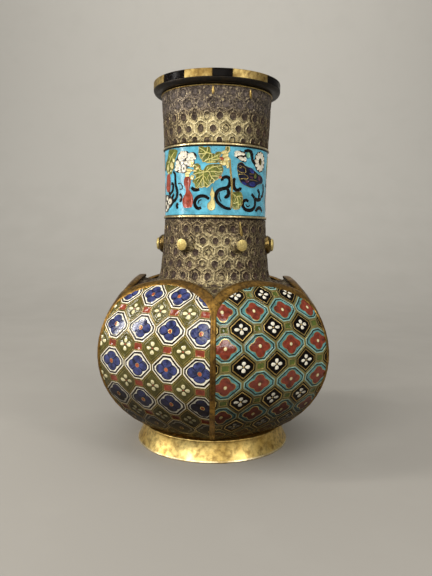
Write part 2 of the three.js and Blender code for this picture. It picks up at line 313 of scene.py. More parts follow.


# fired glass: uneven tone, small round pits, and painted shade with grime low on the bulb, darker towards the
# foot
def makeFiredGlass():
    look = glassLook
    group, start, end = newGroup("firedGlass", {"Tone size": look["toneSize"], "Pit size": look["pitSize"]},
                                 ("Tone", "Pits", "ShadeAndGrime", "Grain"))
    spot = start.outputs["Spot"]
    clouds = addNoise(group, spot, start.outputs["Tone size"], look["toneDetail"])
    tone = addRange(group, clouds, *look["tone"])
    cells = group.nodes.new("ShaderNodeTexVoronoi")
    group.links.new(spot, cells.inputs["Vector"])
    group.links.new(start.outputs["Pit size"], cells.inputs["Scale"])
    patchy = addRange(group, addNoise(group, spot, look["patchSize"], look["patchDetail"]), *look["patch"])
    holes = addRange(group, cells.outputs["Distance"], *look["pit"], 1.0, 0.0)
    pits = addMath(group, "MULTIPLY", holes, patchy)
    grain = addNoise(group, spot, look["skinSize"], look["skinDetail"])
    skin = addMath(group, "MULTIPLY", grain, look["skin"])
    swell = addMath(group, "ADD", addMath(group, "MULTIPLY", tone, look["swell"]), skin)
    uneven = addMath(group, "SUBTRACT", addNoise(group, spot, look["shadeAndGrimeSize"], look["shadeAndGrimeDetail"]), 0.5)
    shaken = addMath(group, "MULTIPLY", uneven, look["shadeAndGrimeShake"])
    level = addMath(group, "ADD", addAxis(group, spot, "Z"), shaken)
    putOut(group, end, {
        "Tone": tone, "Pits": pits, "Grain": addMath(group, "SUBTRACT", swell, pits),
        "ShadeAndGrime": addRange(group, level, *look["shadeAndGrimeLevels"], 0.0, look["shadeAndGrime"])})
    return group


wearAndHighlightLook = {
    # wear and painted highlight: strongest where the neck faces front or back, x within 8 to 36 mm
    "across": (0.008, 0.036),
    "zones": ((0.2135, 0.007, 0.0125, 1.0), (0.1365, 0.004, 0.024, 0.7), (0.1165, 0.003, 0.01, 0.55)),
    "unevenSize": 330.0, "unevenDetail": 6, "unevenRough": 0.74, "wearAndHighlightShake": 2.0, "wearAndHighlight": (0.3, 0.9),
    "crustShake": 0.012, "crustLevels": (0.223, 0.228), "crustTint": (112, 102, 96), "crustShare": 0.75,
}


# relief rubbed bright in broad patches, partly a painted highlight, front and back of each chased zone; grey
# crust under the rim
def makeWearAndHighlight():
    look = wearAndHighlightLook
    group, start, end = newGroup("wearAndHighlight", {}, ("WearAndHighlight", "Crust"))
    spot = start.outputs["Spot"]
    height = addAxis(group, spot, "Z")
    aside = addMath(group, "ABSOLUTE", addAxis(group, spot, "X"))
    patch = 0.0
    for level, inner, outer, most in look["zones"]:
        off = addMath(group, "ABSOLUTE", addMath(group, "SUBTRACT", height, level))
        patch = addMath(group, "MAXIMUM", addRange(group, off, inner, outer, most, 0.0), patch)
    # strongest near x = 0, facing the front lamps: partly a painted highlight
    patch = addMath(group, "MULTIPLY", addRange(group, aside, *look["across"], 1.0, 0.0), patch)
    blots = addNoise(group, spot, look["unevenSize"], look["unevenDetail"], look["unevenRough"])
    uneven = addMath(group, "SUBTRACT", blots, 0.5)
    rubbedAndLit = addMath(group, "ADD", patch, addMath(group, "MULTIPLY", uneven, look["wearAndHighlightShake"]))
    crusted = addMath(group, "ADD", height, addMath(group, "MULTIPLY", uneven, look["crustShake"]))
    putOut(group, end, {"WearAndHighlight": addRange(group, rubbedAndLit, *look["wearAndHighlight"]),
                        "Crust": addRange(group, crusted, *look["crustLevels"])})
    return group


def newFinish(name):
    finish = bpy.data.materials.new(name)
    finish.use_nodes = True
    tree = finish.node_tree
    spot = tree.nodes.new("ShaderNodeTexCoord").outputs["Object"]
    return finish, tree, tree.nodes["Principled BSDF"], spot


placeCamera()
makeFloor()
makeLight()
print("camera and room ready")

tarnish = makeTarnish()
firedGlass = makeFiredGlass()
wearAndHighlight = makeWearAndHighlight()


def addBump(tree, shader, height, strength, depth):
    bump = tree.nodes.new("ShaderNodeBump")
    bump.inputs["Strength"].default_value = strength
    bump.inputs["Distance"].default_value = depth
    tree.links.new(height, bump.inputs["Height"])
    tree.links.new(bump.outputs["Normal"], shader.inputs["Normal"])


def metalFinish(name, bright, dull, stain, sizes, polish, stains=0.5, metallic=1.0, grain=0.3,
                worn=None, fleck=None):
    finish, tree, shader, spot = newFinish(name)
    age = addGroup(tree, tarnish, spot)
    age.inputs["Cloud size"].default_value, age.inputs["Speck size"].default_value = sizes
    base = addMix(tree, age.outputs["Cloud"], tint(*bright), tint(*dull))
    # worn colour: rubbed relief, partly a painted highlight at the front and back of the chased zones
    if worn:
        rubbedAndLit = addGroup(tree, wearAndHighlight, spot)
        crust = addMath(tree, "MULTIPLY", rubbedAndLit.outputs["Crust"], wearAndHighlightLook["crustShare"])
        base = addMix(tree, crust, base, tint(*wearAndHighlightLook["crustTint"]))
        base = addMix(tree, rubbedAndLit.outputs["WearAndHighlight"], base, tint(*worn))
    base = addMix(tree, addMath(tree, "MULTIPLY", age.outputs["Speck"], stains), base, tint(*stain))
    if fleck:
        flecks = addMath(tree, "MULTIPLY", age.outputs["Fleck"], tarnishLook["fleckShare"])
        base = addMix(tree, flecks, base, tint(*fleck))
    tree.links.new(base, shader.inputs["Base Color"])
    tree.links.new(addRange(tree, age.outputs["Cloud"], 0.0, 1.0, *polish), shader.inputs["Roughness"])
    shader.inputs["Metallic"].default_value = metallic
    addBump(tree, shader, age.outputs["Grain"], grain, tarnishLook["grainDepth"])
    return finish


def enamelFinish(name, colour, pale, deep, pitTint=(60, 45, 30), gloss=0.06, toneSize=260.0,
                 shine=0.5, shadeAndGrimeStrength=1.0):
    finish, tree, shader, spot = newFinish(name)
    glass = addGroup(tree, firedGlass, spot)
    glass.inputs["Tone size"].default_value = toneSize
    plain = tint(*colour)
    high = tuple(min(1.0, value * pale) for value in plain[:3]) + (1.0,)
    low = tuple(value * deep for value in plain[:3]) + (1.0,)
    tone = addMix(tree, glass.outputs["Tone"], low, high)
    # painted shade with grime: the colour darkens towards the foot
    shadedAndGrimed = addRange(tree, glass.outputs["ShadeAndGrime"], 0.0, shadeAndGrimeStrength)
    tone = addMix(tree, shadedAndGrimed, tone, tint(*glassLook["shadeAndGrimeTint"]))
    tone = addMix(tree, glass.outputs["Pits"], tone, tint(*pitTint))
    tree.links.new(tone, shader.inputs["Base Color"])
    clean = addRange(tree, glass.outputs["Tone"], 0.0, 1.0, gloss, gloss + glassLook["glossRange"])
    shadedAndSoiled = addRange(tree, glass.outputs["ShadeAndGrime"], *glassLook["shadedAndSoiled"])
    rough = addMath(tree, "MAXIMUM", clean, addMath(tree, "MULTIPLY", shadedAndSoiled, glassLook["shadedAndSoiledRough"]))
    tree.links.new(rough, shader.inputs["Roughness"])
    tree.links.new(shadedAndSoiled, shader.inputs["Metallic"])  # dark gilding rubbed through low on the bulb, and painted shade that dims the enamel's reflection there
    shader.inputs["Specular IOR Level"].default_value = shine
    addBump(tree, shader, glass.outputs["Grain"], glassLook["grainStrength"], glassLook["grainDepth"])
    return finish


metals = {
    "darkBronze": {"bright": (104, 92, 72), "dull": (70, 60, 50), "stain": (42, 35, 30), "sizes": (70, 900),
                   "polish": (0.4, 0.62), "stains": 0.6},
    # worn colours: rubbed relief, partly a painted highlight
    "chasedGround": {"bright": (124, 108, 84), "dull": (94, 80, 65), "stain": (34, 27, 21),
                     "sizes": (75, 820), "polish": (0.42, 0.64), "stains": 0.95, "metallic": 0.9,
                     "grain": 0.9, "worn": (206, 190, 142), "fleck": (184, 168, 128)},
    "chasedLine": {"bright": (170, 152, 112), "dull": (124, 107, 80), "stain": (66, 53, 38),
                   "sizes": (65, 720), "polish": (0.36, 0.58), "metallic": 0.9, "grain": 0.7,
                   "worn": (240, 226, 180)},
    "chasedPit": {"bright": (82, 60, 48), "dull": (54, 40, 33), "stain": (22, 16, 13), "sizes": (80, 720),
                  "polish": (0.5, 0.72), "stains": 0.75, "metallic": 0.5, "grain": 0.7,
                  "worn": (88, 72, 56), "fleck": (122, 108, 88)},
    "borderGilt": {"bright": (156, 118, 50), "dull": (94, 68, 28), "stain": (46, 31, 14), "sizes": (75, 520),
                   "polish": (0.32, 0.52), "stains": 0.75, "metallic": 0.85, "grain": 0.5},
    "wire": {"bright": (214, 188, 118), "dull": (160, 128, 66), "stain": (96, 72, 38), "sizes": (90, 900),
             "polish": (0.28, 0.45), "stains": 0.4},
    "ringBrass": {"bright": (255, 240, 190), "dull": (200, 174, 120), "stain": (84, 64, 38),
                  "sizes": (70, 600), "polish": (0.24, 0.42)},
    "rimBrass": {"bright": (204, 180, 116), "dull": (142, 116, 64), "stain": (80, 58, 32), "sizes": (90, 420),
                 "polish": (0.4, 0.56), "stains": 0.65},
    "rimShade": {"bright": (24, 19, 11), "dull": (11, 9, 7), "stain": (54, 39, 17), "sizes": (60, 500),
                 "polish": (0.34, 0.55), "stains": 0.45, "metallic": 0.6},
    "footBrass": {"bright": (240, 214, 138), "dull": (196, 162, 86), "stain": (104, 72, 32),
                  "sizes": (40, 300), "polish": (0.32, 0.5), "stains": 0.65},
    # painted shade for the foot's groove
    "footGrooveShade": {"bright": (88, 66, 30), "dull": (54, 40, 20), "stain": (30, 22, 14), "sizes": (60, 420),
                   "polish": (0.35, 0.55)},
    "footEdge": {"bright": (250, 238, 200), "dull": (216, 190, 130), "stain": (150, 118, 66),
                 "sizes": (70, 420), "polish": (0.3, 0.5), "stains": 0.45},
    "studFace": {"bright": (226, 208, 140), "dull": (196, 172, 102), "stain": (140, 112, 54),
                 "sizes": (160, 900), "polish": (0.38, 0.55), "metallic": 0.75},
    "studSide": {"bright": (150, 126, 74), "dull": (84, 66, 38), "stain": (34, 25, 15), "sizes": (90, 700),
                 "polish": (0.22, 0.36), "stains": 0.6},
}
enamels = {
    "olive": {"colour": (86, 80, 34), "pale": 1.25, "deep": 0.6, "shine": 0.35},
    "oliveLine": {"colour": (110, 102, 58), "pale": 1.25, "deep": 0.65, "shine": 0.35},
    "white": {"colour": (244, 238, 218), "pale": 1.03, "deep": 0.86, "pitTint": (110, 90, 60)},
    "dark": {"colour": (30, 21, 15), "pale": 1.5, "deep": 0.6, "shine": 0.25},
    "blue": {"colour": (46, 52, 92), "pale": 2.2, "deep": 0.36, "pitTint": (26, 24, 48), "gloss": 0.08,
             "toneSize": 330.0, "shine": 0.4, "shadeAndGrimeStrength": 0.66},
    "petalLine": {"colour": (20, 20, 40), "pale": 1.8, "deep": 0.5, "shine": 0.3},
    "redSquare": {"colour": (134, 58, 36), "pale": 1.4, "deep": 0.6},
    "orange": {"colour": (170, 78, 50), "pale": 1.3, "deep": 0.7},
    "cream": {"colour": (236, 226, 178), "pale": 1.05, "deep": 0.82, "pitTint": (120, 98, 60)},
    "turquoise": {"colour": (86, 140, 140), "pale": 1.45, "deep": 0.55},
    "paleTurquoise": {"colour": (130, 170, 160), "pale": 1.25, "deep": 0.7},
    "deepGreen": {"colour": (22, 40, 34), "pale": 1.3, "deep": 0.7, "shine": 0.3},
    "flowerRed": {"colour": (114, 45, 27), "pale": 1.7, "deep": 0.5, "pitTint": (80, 28, 18), "gloss": 0.08,
                  "toneSize": 330.0},
    "greenSquare": {"colour": (80, 92, 32), "pale": 1.2, "deep": 0.7},
    "black": {"colour": (14, 11, 10), "pale": 1.5, "deep": 0.6, "pitTint": (26, 20, 16), "gloss": 0.16,
              "shine": 0.04},
    "sky": {"colour": (92, 178, 204), "pale": 1.3, "deep": 0.66, "pitTint": (70, 90, 90), "gloss": 0.2,
            "toneSize": 150.0},
    "leafGreen": {"colour": (104, 110, 44), "pale": 1.6, "deep": 0.55, "pitTint": (50, 50, 20), "gloss": 0.2,
                  "toneSize": 320.0},
    "leafVein": {"colour": (222, 212, 130), "pale": 1.1, "deep": 0.8},
    "gourdRed": {"colour": (158, 66, 44), "pale": 1.35, "deep": 0.65, "gloss": 0.16},
    "plum": {"colour": (84, 48, 66), "pale": 1.4, "deep": 0.6},
    "mint": {"colour": (128, 186, 156), "pale": 1.15, "deep": 0.75},
    "gourdCream": {"colour": (236, 222, 152), "pale": 1.1, "deep": 0.78},
    "birdBlue": {"colour": (22, 23, 40), "pale": 2.2, "deep": 0.5, "shine": 0.3},
    "brightBlue": {"colour": (36, 44, 112), "pale": 1.6, "deep": 0.6},
    "scroll": {"colour": (20, 14, 11), "pale": 1.6, "deep": 0.6, "shine": 0.25},
}
finishes = {name: metalFinish(name, **look) for name, look in metals.items()}
finishes.update({name: enamelFinish(name, **look) for name, look in enamels.items()})
print("finishes ready:", len(finishes))


orderStep = 100000  # weight of a corner over the next one
merge = 0.001  # corners closer than this many millimetres become one
touch = 0.004  # the same for neighbouring tiles and cells


# spinning and extruding leave edges and faces in chance order, so they are sorted by their corners
def cornerOrder(part):
    lowest = sorted(vert.index for vert in part.verts)[:3]
    return float(sum(index * orderStep ** (2 - place) for place, index in enumerate(lowest)))


# finishing a piece: to metres, smooth with sharp edges, riding on the vase
def settle(body, name, looks, nodes=(), sharp=32.0):
    body.verts.index_update()
    body.edges.sort(key=cornerOrder)
    body.faces.sort(key=cornerOrder)
    bmesh.ops.scale(body, vec=(mm, mm, mm), verts=body.verts)
    mesh = bpy.data.meshes.new(name)
    body.to_mesh(mesh)
    body.free()
    for look in looks:
        mesh.materials.append(finishes[look])
    mesh.shade_smooth()
    mesh.set_sharp_from_angle(angle=math.radians(sharp))
    piece = bpy.data.objects.new(name, mesh)
    scene.collection.objects.link(piece)
    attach(piece, "root")
    if nodes:
        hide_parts(*nodes)
    print("made", name, "with", len(mesh.polygons), "faces")
    return piece


def thicken(piece, depth):
    wall = piece.modifiers.new("wall", "SOLIDIFY")
    wall.thickness = depth * mm
    wall.offset = -1
    wall.use_even_offset = False


def roundEdges(piece, width, steps=2, angle=40.0):
    edge = piece.modifiers.new("edges", "BEVEL")
    edge.width = width * mm
    edge.segments = steps
    edge.limit_method = "ANGLE"
    edge.angle_limit = math.radians(angle)
    edge.profile = 0.5


def spinRound(body, parts, angle, steps, closed):
    bmesh.ops.spin(body, geom=parts, cent=(0, 0, 0), axis=(0, 0, 1), dvec=(0, 0, 0), angle=angle, steps=steps,
                   use_merge=closed, use_duplicate=False)


# a closed outline of radius and height, turned about the vase's axis
def turned(outline, steps):
    body = bmesh.new()
    ring = [body.verts.new((0.0, -radius, height)) for radius, height in outline]
    chain = [body.edges.new((ring[place - 1], ring[place])) for place in range(len(ring))]
    spinRound(body, ring + chain, 2 * math.pi, steps, True)
    bmesh.ops.remove_doubles(body, verts=body.verts, dist=merge)
    bmesh.ops.recalc_face_normals(body, faces=body.faces)
    return body


def arcPoints(middle, radiusX, radiusY, startDegrees, endDegrees, steps):
    span = endDegrees - startDegrees
    turns = [math.radians(startDegrees + span * step / steps) for step in range(steps + 1)]
    return [(middle[0] + radiusX * math.cos(turn), middle[1] + radiusY * math.sin(turn)) for turn in turns]


# bulb casting: a ring of sections turned round the axis, then set on the six-sided barrel

bulb = {
    "ridgeColumns": (0.0, 0.25, 0.55, 0.95, 1.35, 1.65, 1.8, 1.86),
    "ridgeLifts": (-0.18, -0.05, 0.22, 0.34, 0.24, 0.08, 0.0, 0.0),
    "fieldColumns": 13, "pocketRows": 13, "pocketDepth": 1.45,
    "footRows": ((14.0, 0.0), (14.25, 0.12), (14.8, 0.2), (15.3, 0.12), (15.6, 0.0)),
    "archRows": ((0.0, 0.0), (0.14, 0.2), (0.35, 0.3), (0.62, 0.3), (0.86, 0.2), (1.0, 0.04)),
    "lipRows": ((0.12, 0.5), (0.18, 1.3), (0.1, 2.2), (-0.2, 2.58)),
    "shoulderRows": 8, "filletRows": 6, "innerRows": 7, "tipDrop": 2.0,
    "ridgeAtFoot": 0.8, "pocketGap": 0.06, "springRise": 4.0, "seatGap": 0.05, "valleyDrop": 0.4,
    "innerDrop": 0.6,
    "ringRadius": 20.0, "ringReach": 60.0, "sharp": 50.0,
}


def bulbColumns():
    columns = [("ridge", -1, place) for place in range(len(bulb["ridgeColumns"]))]
    steps = bulb["fieldColumns"] + 1
    columns += [("field", math.sin((step / steps - 0.5) * math.pi), None) for step in range(1, steps)]
    columns += [("ridge", 1, place) for place in range(len(bulb["ridgeColumns"]) - 1, 0, -1)]
    return columns


def columnShare(column, height):
    kind, value, place = column
    halfWidth = halfWidthAt(height)
    if kind == "ridge":
        return value * (1 - bulb["ridgeColumns"][place] / halfWidth)
    return value * (1 - form["ridgeBorder"] / halfWidth)


def bulbSection(panel, column):
    kind, value, place = column
    inField = kind == "field" or place == len(bulb["ridgeColumns"]) - 1
    ridgeLift = 0.0 if kind == "field" else bulb["ridgeLifts"][place]
    edge = 1.0 if inField else bulb["ridgeColumns"][place] / form["ridgeBorder"]
    fieldShare = value if kind == "field" else 1.0
    fieldTop = enamelTop(fieldShare) - bulb["tipDrop"] * (1 - edge)
    archTop = archAt(columnShare(column, tipLevel + bulb["springRise"]), form["archRise"])
    spots = []

    def put(height, inset):
        spots.append(panelSpot(panel, columnShare(column, height), height, inset))

    for height, lift in bulb["footRows"]:
        put(height, -max(lift, ridgeLift * bulb["ridgeAtFoot"]))
    low = form["base"] + form["footBorder"] + bulb["pocketGap"]
    high = fieldTop - bulb["pocketGap"]
    for row in range(bulb["pocketRows"] + 1):
        height = low + (high - low) * row / bulb["pocketRows"]
        put(height, bulb["pocketDepth"] if inField else -ridgeLift)
    for share, lift in bulb["archRows"]:
        ridgePart = ridgeLift * (1 - share)
        rowLift = lift if kind == "field" else max(lift * edge, ridgePart)
        put(fieldTop + (archTop - fieldTop) * share, -rowLift)
    for rise, inset in bulb["lipRows"]:
        spots.append(panelSpot(panel, columnShare(column, archTop), archTop + rise, inset))
    end = panelSpot(panel, columnShare(column, archTop), archTop - form["lipRise"], form["lipWidth"])
    azimuth = math.atan2(end.x, -end.y)
    seat = form["skin"] + bulb["seatGap"]
    valley = onTurn(azimuth, form["valleyRadius"], valleyLevel - seat)
    for step in range(bulb["shoulderRows"], 0, -1):
        share = step / bulb["shoulderRows"]
        spot = valley.lerp(end, share)
        spot.z = valleyLevel - seat + (end.z - valleyLevel) * share ** form["shoulderCurve"]
        spots.append(spot)
    for step in range(bulb["filletRows"] + 1):
        turn = math.pi / 2 * step / bulb["filletRows"]
        radius = form["valleyRadius"] - (form["valleyRadius"] - form["collarRadius"] + seat) * math.sin(turn)
        height = valleyLevel - seat + (collarLevel - valleyLevel + seat) * (1 - math.cos(turn))
        spots.append(onTurn(azimuth, radius, height))
    spots.append(onTurn(azimuth, form["boreRadius"], collarLevel))
    under = valleyLevel - form["shoulderWall"]
    spots.append(onTurn(azimuth, form["boreRadius"], under))
    spots.append(onTurn(azimuth, form["valleyRadius"], under - bulb["valleyDrop"]))
    innerTop = end.z - form["shoulderWall"] - bulb["innerDrop"]
    for row in range(bulb["innerRows"], -1, -1):
        height = form["base"] + (innerTop - form["base"]) * row / bulb["innerRows"]
        put(height, form["wall"])
    return spots


def makeBulb():
    columns = bulbColumns()
    sections = [bulbSection(panel, column) for panel in range(form["panels"]) for column in columns]
    rows = len(sections[0])
    turns = len(sections)
    body = bmesh.new()
    bmesh.ops.create_circle(body, cap_ends=False, segments=rows, radius=bulb["ringRadius"])
    bmesh.ops.rotate(body, cent=(0, 0, 0), matrix=Matrix.Rotation(math.pi / 2, 3, "X"), verts=body.verts)
    bmesh.ops.translate(body, vec=(bulb["ringReach"], 0, 0), verts=body.verts)
    spinRound(body, body.verts[:] + body.edges[:], 2 * math.pi, turns, True)
    bmesh.ops.remove_doubles(body, verts=body.verts, dist=merge)
    places = {}
    for vert in body.verts:
        turn = round(math.atan2(vert.co.y, vert.co.x) / (2 * math.pi) * turns) % turns
        out = math.hypot(vert.co.x, vert.co.y) - bulb["ringReach"]
        row = round(math.atan2(vert.co.z, out) / (2 * math.pi) * rows) % rows
        places[vert] = (turn, row)
    borderEnd = len(bulb["footRows"]) + bulb["pocketRows"] + 1 + len(bulb["archRows"]) + len(bulb["lipRows"])
    for face in body.faces:
        own = [places[vert][1] for vert in face.verts]
        face.material_index = 0 if max(own) < borderEnd else 1
        if max(own) == rows - 1 and min(own) == 0:
            face.material_index = 1
    for vert, (turn, row) in places.items():
        vert.co = sections[turn][row]
    bmesh.ops.recalc_face_normals(body, faces=body.faces)
    settle(body, "bulbBody", ["borderGilt", "darkBronze"], ["bulb_casting"], bulb["sharp"])


makeBulb()


# enamel panels: a flat tiling of octagons, squares and diamonds, laid on the barrel

runSteps = {"height": 0.25, "count": 440, "beyond": 2.0}


# how far up the barrel's flat each height lies, counted from the widest level
def reachTable():
    heights = [form["base"] + step * runSteps["height"] for step in range(runSteps["count"])]
    heights = [height for height in heights if height < tipLevel + form["archRise"] + runSteps["beyond"]]
    run = [0.0]
    for low, high in zip(heights, heights[1:]):
        run.append(run[-1] + math.hypot(high - low, apothemAt(high) - apothemAt(low)))
    start = run[bisect.bisect_left(heights, middleLevel)]
    return heights, [length - start for length in run]


reachHeights, reachRun = reachTable()


def between(keys, values, key):
    place = min(max(bisect.bisect_left(keys, key), 1), len(keys) - 1)
    share = (key - keys[place - 1]) / (keys[place] - keys[place - 1])
    return values[place - 1] + (values[place] - values[place - 1]) * share


def heightAtRun(length):
    return between(reachRun, reachHeights, length)


def runAtHeight(height):
    return between(reachHeights, reachRun, height)


panelField = {
    "edge": 1.86, "sink": 0.02, "depth": 1.0, "sideCuts": 9, "archCuts": 22, "sharp": 60.0,
    "variants": 5, "seed": 5, "petalShake": 0.09, "petalGrow": 0.6, "eyeShake": 0.3, "warp": 0.42,
    "warpSize": 8.0,
    "rows": range(-5, 6), "columns": range(-4, 5), "spare": 0.6,
    "longEdge": 6.0, "flowerCuts": 2, "flowerInset": 0.3, "ringInset": 0.02,
    "flowerRings": ((0.93, 0.03, "flowerEdge"), (0.5, 0.05, "flower"), (None, -0.04, "flower"),
                    (0.78, 0.07, "eyeRing")),
    "lobe": (0.47, 0.53), "pointed": (0.69, 0.31, 1.4),
    "petalCorners": 12, "seedCorners": 8, "petalTaper": (0.8, 0.2), "petalCap": (0.12, 0.08),
}

oliveDesign = {
    "looks": ["olive", "oliveLine", "wire", "white", "dark", "blue", "petalLine", "orange", "redSquare",
              "cream"],
    "pitch": (21.7, 23.3), "start": (-8.4, -2.2), "follow": 0.45, "corner": (3.35, 2.35), "side": 2.0,
    "cuts": 2,
    "octagon": [(0.36, 0.0, "olive"), (0.1, 0.05, "wire"), (0.1, -0.07, "wire"), (0.62, 0.0, "white"),
                (0.08, 0.04, "dark"), (0.98, 0.0, "dark"), (0.08, -0.05, "dark")],
    "octagonField": "white", "flower": "blue", "flowerEdge": "petalLine", "petalLine": "petalLine",
    "flowerSize": (7.7, 6.5), "flowerPoint": 0.0, "flowerLift": 0.05,
    "eye": 1.45, "eyeLook": "orange", "eyeRing": "wire",
    "square": [(0.25, 0.0, "olive"), (0.1, 0.05, "wire"), (0.1, -0.07, "wire")], "squareField": "redSquare",
    "diamond": [(0.36, 0.0, "olive"), (0.1, 0.05, "wire"), (0.1, -0.06, "wire"), (1.0, 0.0, "olive"),
                (0.12, 0.04, "oliveLine"), (0.2, 0.0, "oliveLine"), (0.12, -0.05, "oliveLine")],
    "diamondField": "olive", "petal": (1.38, 1.4), "petalReach": 2.35, "petalStretch": 1.22,
    "petalLook": "cream",
    "seed": 0.5, "seedLook": "orange",
}
turquoiseDesign = {
    "looks": ["olive", "oliveLine", "wire", "paleTurquoise", "deepGreen", "turquoise", "flowerRed", "cream",
              "greenSquare", "black", "white"],
    "pitch": (23.4, 22.45), "start": (-12.3, -10.4), "follow": 0.75, "corner": (3.0, 2.4), "side": 2.2,
    "cuts": 2,
    "octagon": [(0.6, 0.0, "oliveLine"), (0.1, 0.05, "wire"), (0.1, -0.07, "wire"),
                (0.7, 0.0, "paleTurquoise"), (0.06, 0.04, "deepGreen"), (0.75, 0.0, "deepGreen"),
                (0.06, -0.05, "deepGreen")],
    "octagonField": "turquoise", "flower": "flowerRed", "flowerEdge": "wire", "petalLine": "flowerRed",
    "flowerSize": (7.9, 6.2), "flowerPoint": 1.0, "flowerLift": 0.05,
    "eye": 1.2, "eyeLook": "cream", "eyeRing": "wire",
    "square": [(0.6, 0.0, "oliveLine"), (0.1, 0.05, "wire"), (0.1, -0.07, "wire")],
    "squareField": "greenSquare",
    "diamond": [(0.6, 0.0, "oliveLine"), (0.08, 0.05, "black"), (0.75, 0.0, "black"), (0.1, 0.04, "wire"),
                (0.4, 0.0, "wire"), (0.1, -0.06, "wire")],
    "diamondField": "black", "petal": (1.3, 1.34), "petalReach": 2.15, "petalStretch": 1.28,
    "petalLook": "white",
    "seed": 0.5, "seedLook": "wire",
}


def faceUp(face):
    face.normal_update()
    if face.normal.z < 0:
        face.normal_flip()


# a polygon whose corners are given in order, starting from a capped circle
def cornerFace(body, corners, look):
    verts = bmesh.ops.create_circle(body, cap_ends=True, segments=len(corners), radius=1.0)["verts"]
    for vert, (x, y) in zip(verts, corners):
        vert.co = (x, y, 0.0)
    face = verts[0].link_faces[0]
    faceUp(face)
    face.material_index = look
    return face


def insetRing(body, face, width, lift, look, even=True):
    made = bmesh.ops.inset_individual(body, faces=[face], thickness=width, depth=lift, use_even_offset=even)
    for part in made["faces"]:
        part.material_index = look
    return made["faces"]


def insetRings(body, face, rings, looks):
    for width, lift, look in rings:
        insetRing(body, face, width, lift, looks.index(look))


# the face keeps its look, and is found again as the one nearest to where it was
def cutLongEdges(body, face, longest, cuts):
    keep = face.material_index
    middle = face.calc_center_median()

    def away(part):
        return (part.calc_center_median() - middle).length - 0.001 * part.calc_area()

    longEdges = [edge for edge in face.edges if edge.calc_length() > longest]
    bmesh.ops.subdivide_edges(body, edges=longEdges, cuts=cuts)
    found = min(body.faces, key=away)
    found.material_index = keep
    return found


# four petals: round lobes, or drawn out to a point
def flowerRadius(turn, point):
    local = (turn + math.pi / 4) % (math.pi / 2) - math.pi / 4
    out, size = panelField["lobe"]
    petal = out * math.cos(local) + math.sqrt(size ** 2 - (out * math.sin(local)) ** 2)
    notch, tip, power = panelField["pointed"]
    sharp = notch + tip * abs(math.cos(2 * turn)) ** power
    return petal * (1 - point) + sharp * point


def flowerTurn(spot, size):
    return math.atan2(spot.y / size[1], spot.x / size[0])


# how far a face of the flower lies, as a turn, from one of its four notches
def notchGap(part, size, notch):
    gap = abs(flowerTurn(part.calc_center_median(), size) - math.pi / 4 - notch * math.pi / 2) % (2 * math.pi)
    return min(gap, 2 * math.pi - gap)


def octagonTile(body, design, luck):
    looks = design["looks"]
    halfX, halfY = design["pitch"][0] / 2, design["pitch"][1] / 2
    cornerX, cornerY = design["corner"]
    top = halfY - cornerY
    side = design["side"]
    corners = [(cornerX, top), (-cornerX, top), (-halfX, side), (-halfX, -side),
               (-cornerX, -top), (cornerX, -top), (halfX, -side), (halfX, side)]
    ground = looks.index(design["octagonField"])
    face = cutLongEdges(body, cornerFace(body, corners, ground), panelField["longEdge"], design["cuts"])
    insetRings(body, face, design["octagon"], looks)
    face = cutLongEdges(body, face, 0.0, panelField["flowerCuts"])
    insetRing(body, face, panelField["flowerInset"], design["flowerLift"], ground, False)
    size = design["flowerSize"]
    shakes = [luck.uniform(-1, panelField["petalGrow"]) * panelField["petalShake"] for petal in range(4)]
    eye = [luck.uniform(-1, 1) * panelField["eyeShake"] for axis in range(2)]
    for vert in face.verts:
        turn = flowerTurn(vert.co, size)
        shake = shakes[round(turn / (math.pi / 2)) % 4] * abs(math.cos(2 * turn))
        reach = flowerRadius(turn, design["flowerPoint"]) * (1 + shake)
        vert.co.x = size[0] * reach * math.cos(turn)
        vert.co.y = size[1] * reach * math.sin(turn)
    rings = []
    for number, (scale, lift, look) in enumerate(panelField["flowerRings"]):
        turns = [flowerTurn(vert.co, size) for vert in face.verts]
        before = [vert.co.copy() for vert in face.verts]
        rings.append(insetRing(body, face, panelField["ringInset"], lift, looks.index(design[look]), False))
        middle = eye if number else (0.0, 0.0)
        for vert, old, turn in zip(face.verts, before, turns):
            if scale is None:
                vert.co.x = eye[0] + design["eye"] * math.cos(turn)
                vert.co.y = eye[1] + design["eye"] * math.sin(turn)
            else:
                vert.co.x = middle[0] + (old.x - middle[0]) * scale
                vert.co.y = middle[1] + (old.y - middle[1]) * scale
    face.material_index = looks.index(design["eyeLook"])
    for ring in rings[1:3]:  # a line between petals, from each notch to the eye
        for notch in range(4):
            away = [notchGap(part, size, notch) for part in ring]
            ring[away.index(min(away))].material_index = looks.index(design["petalLine"])


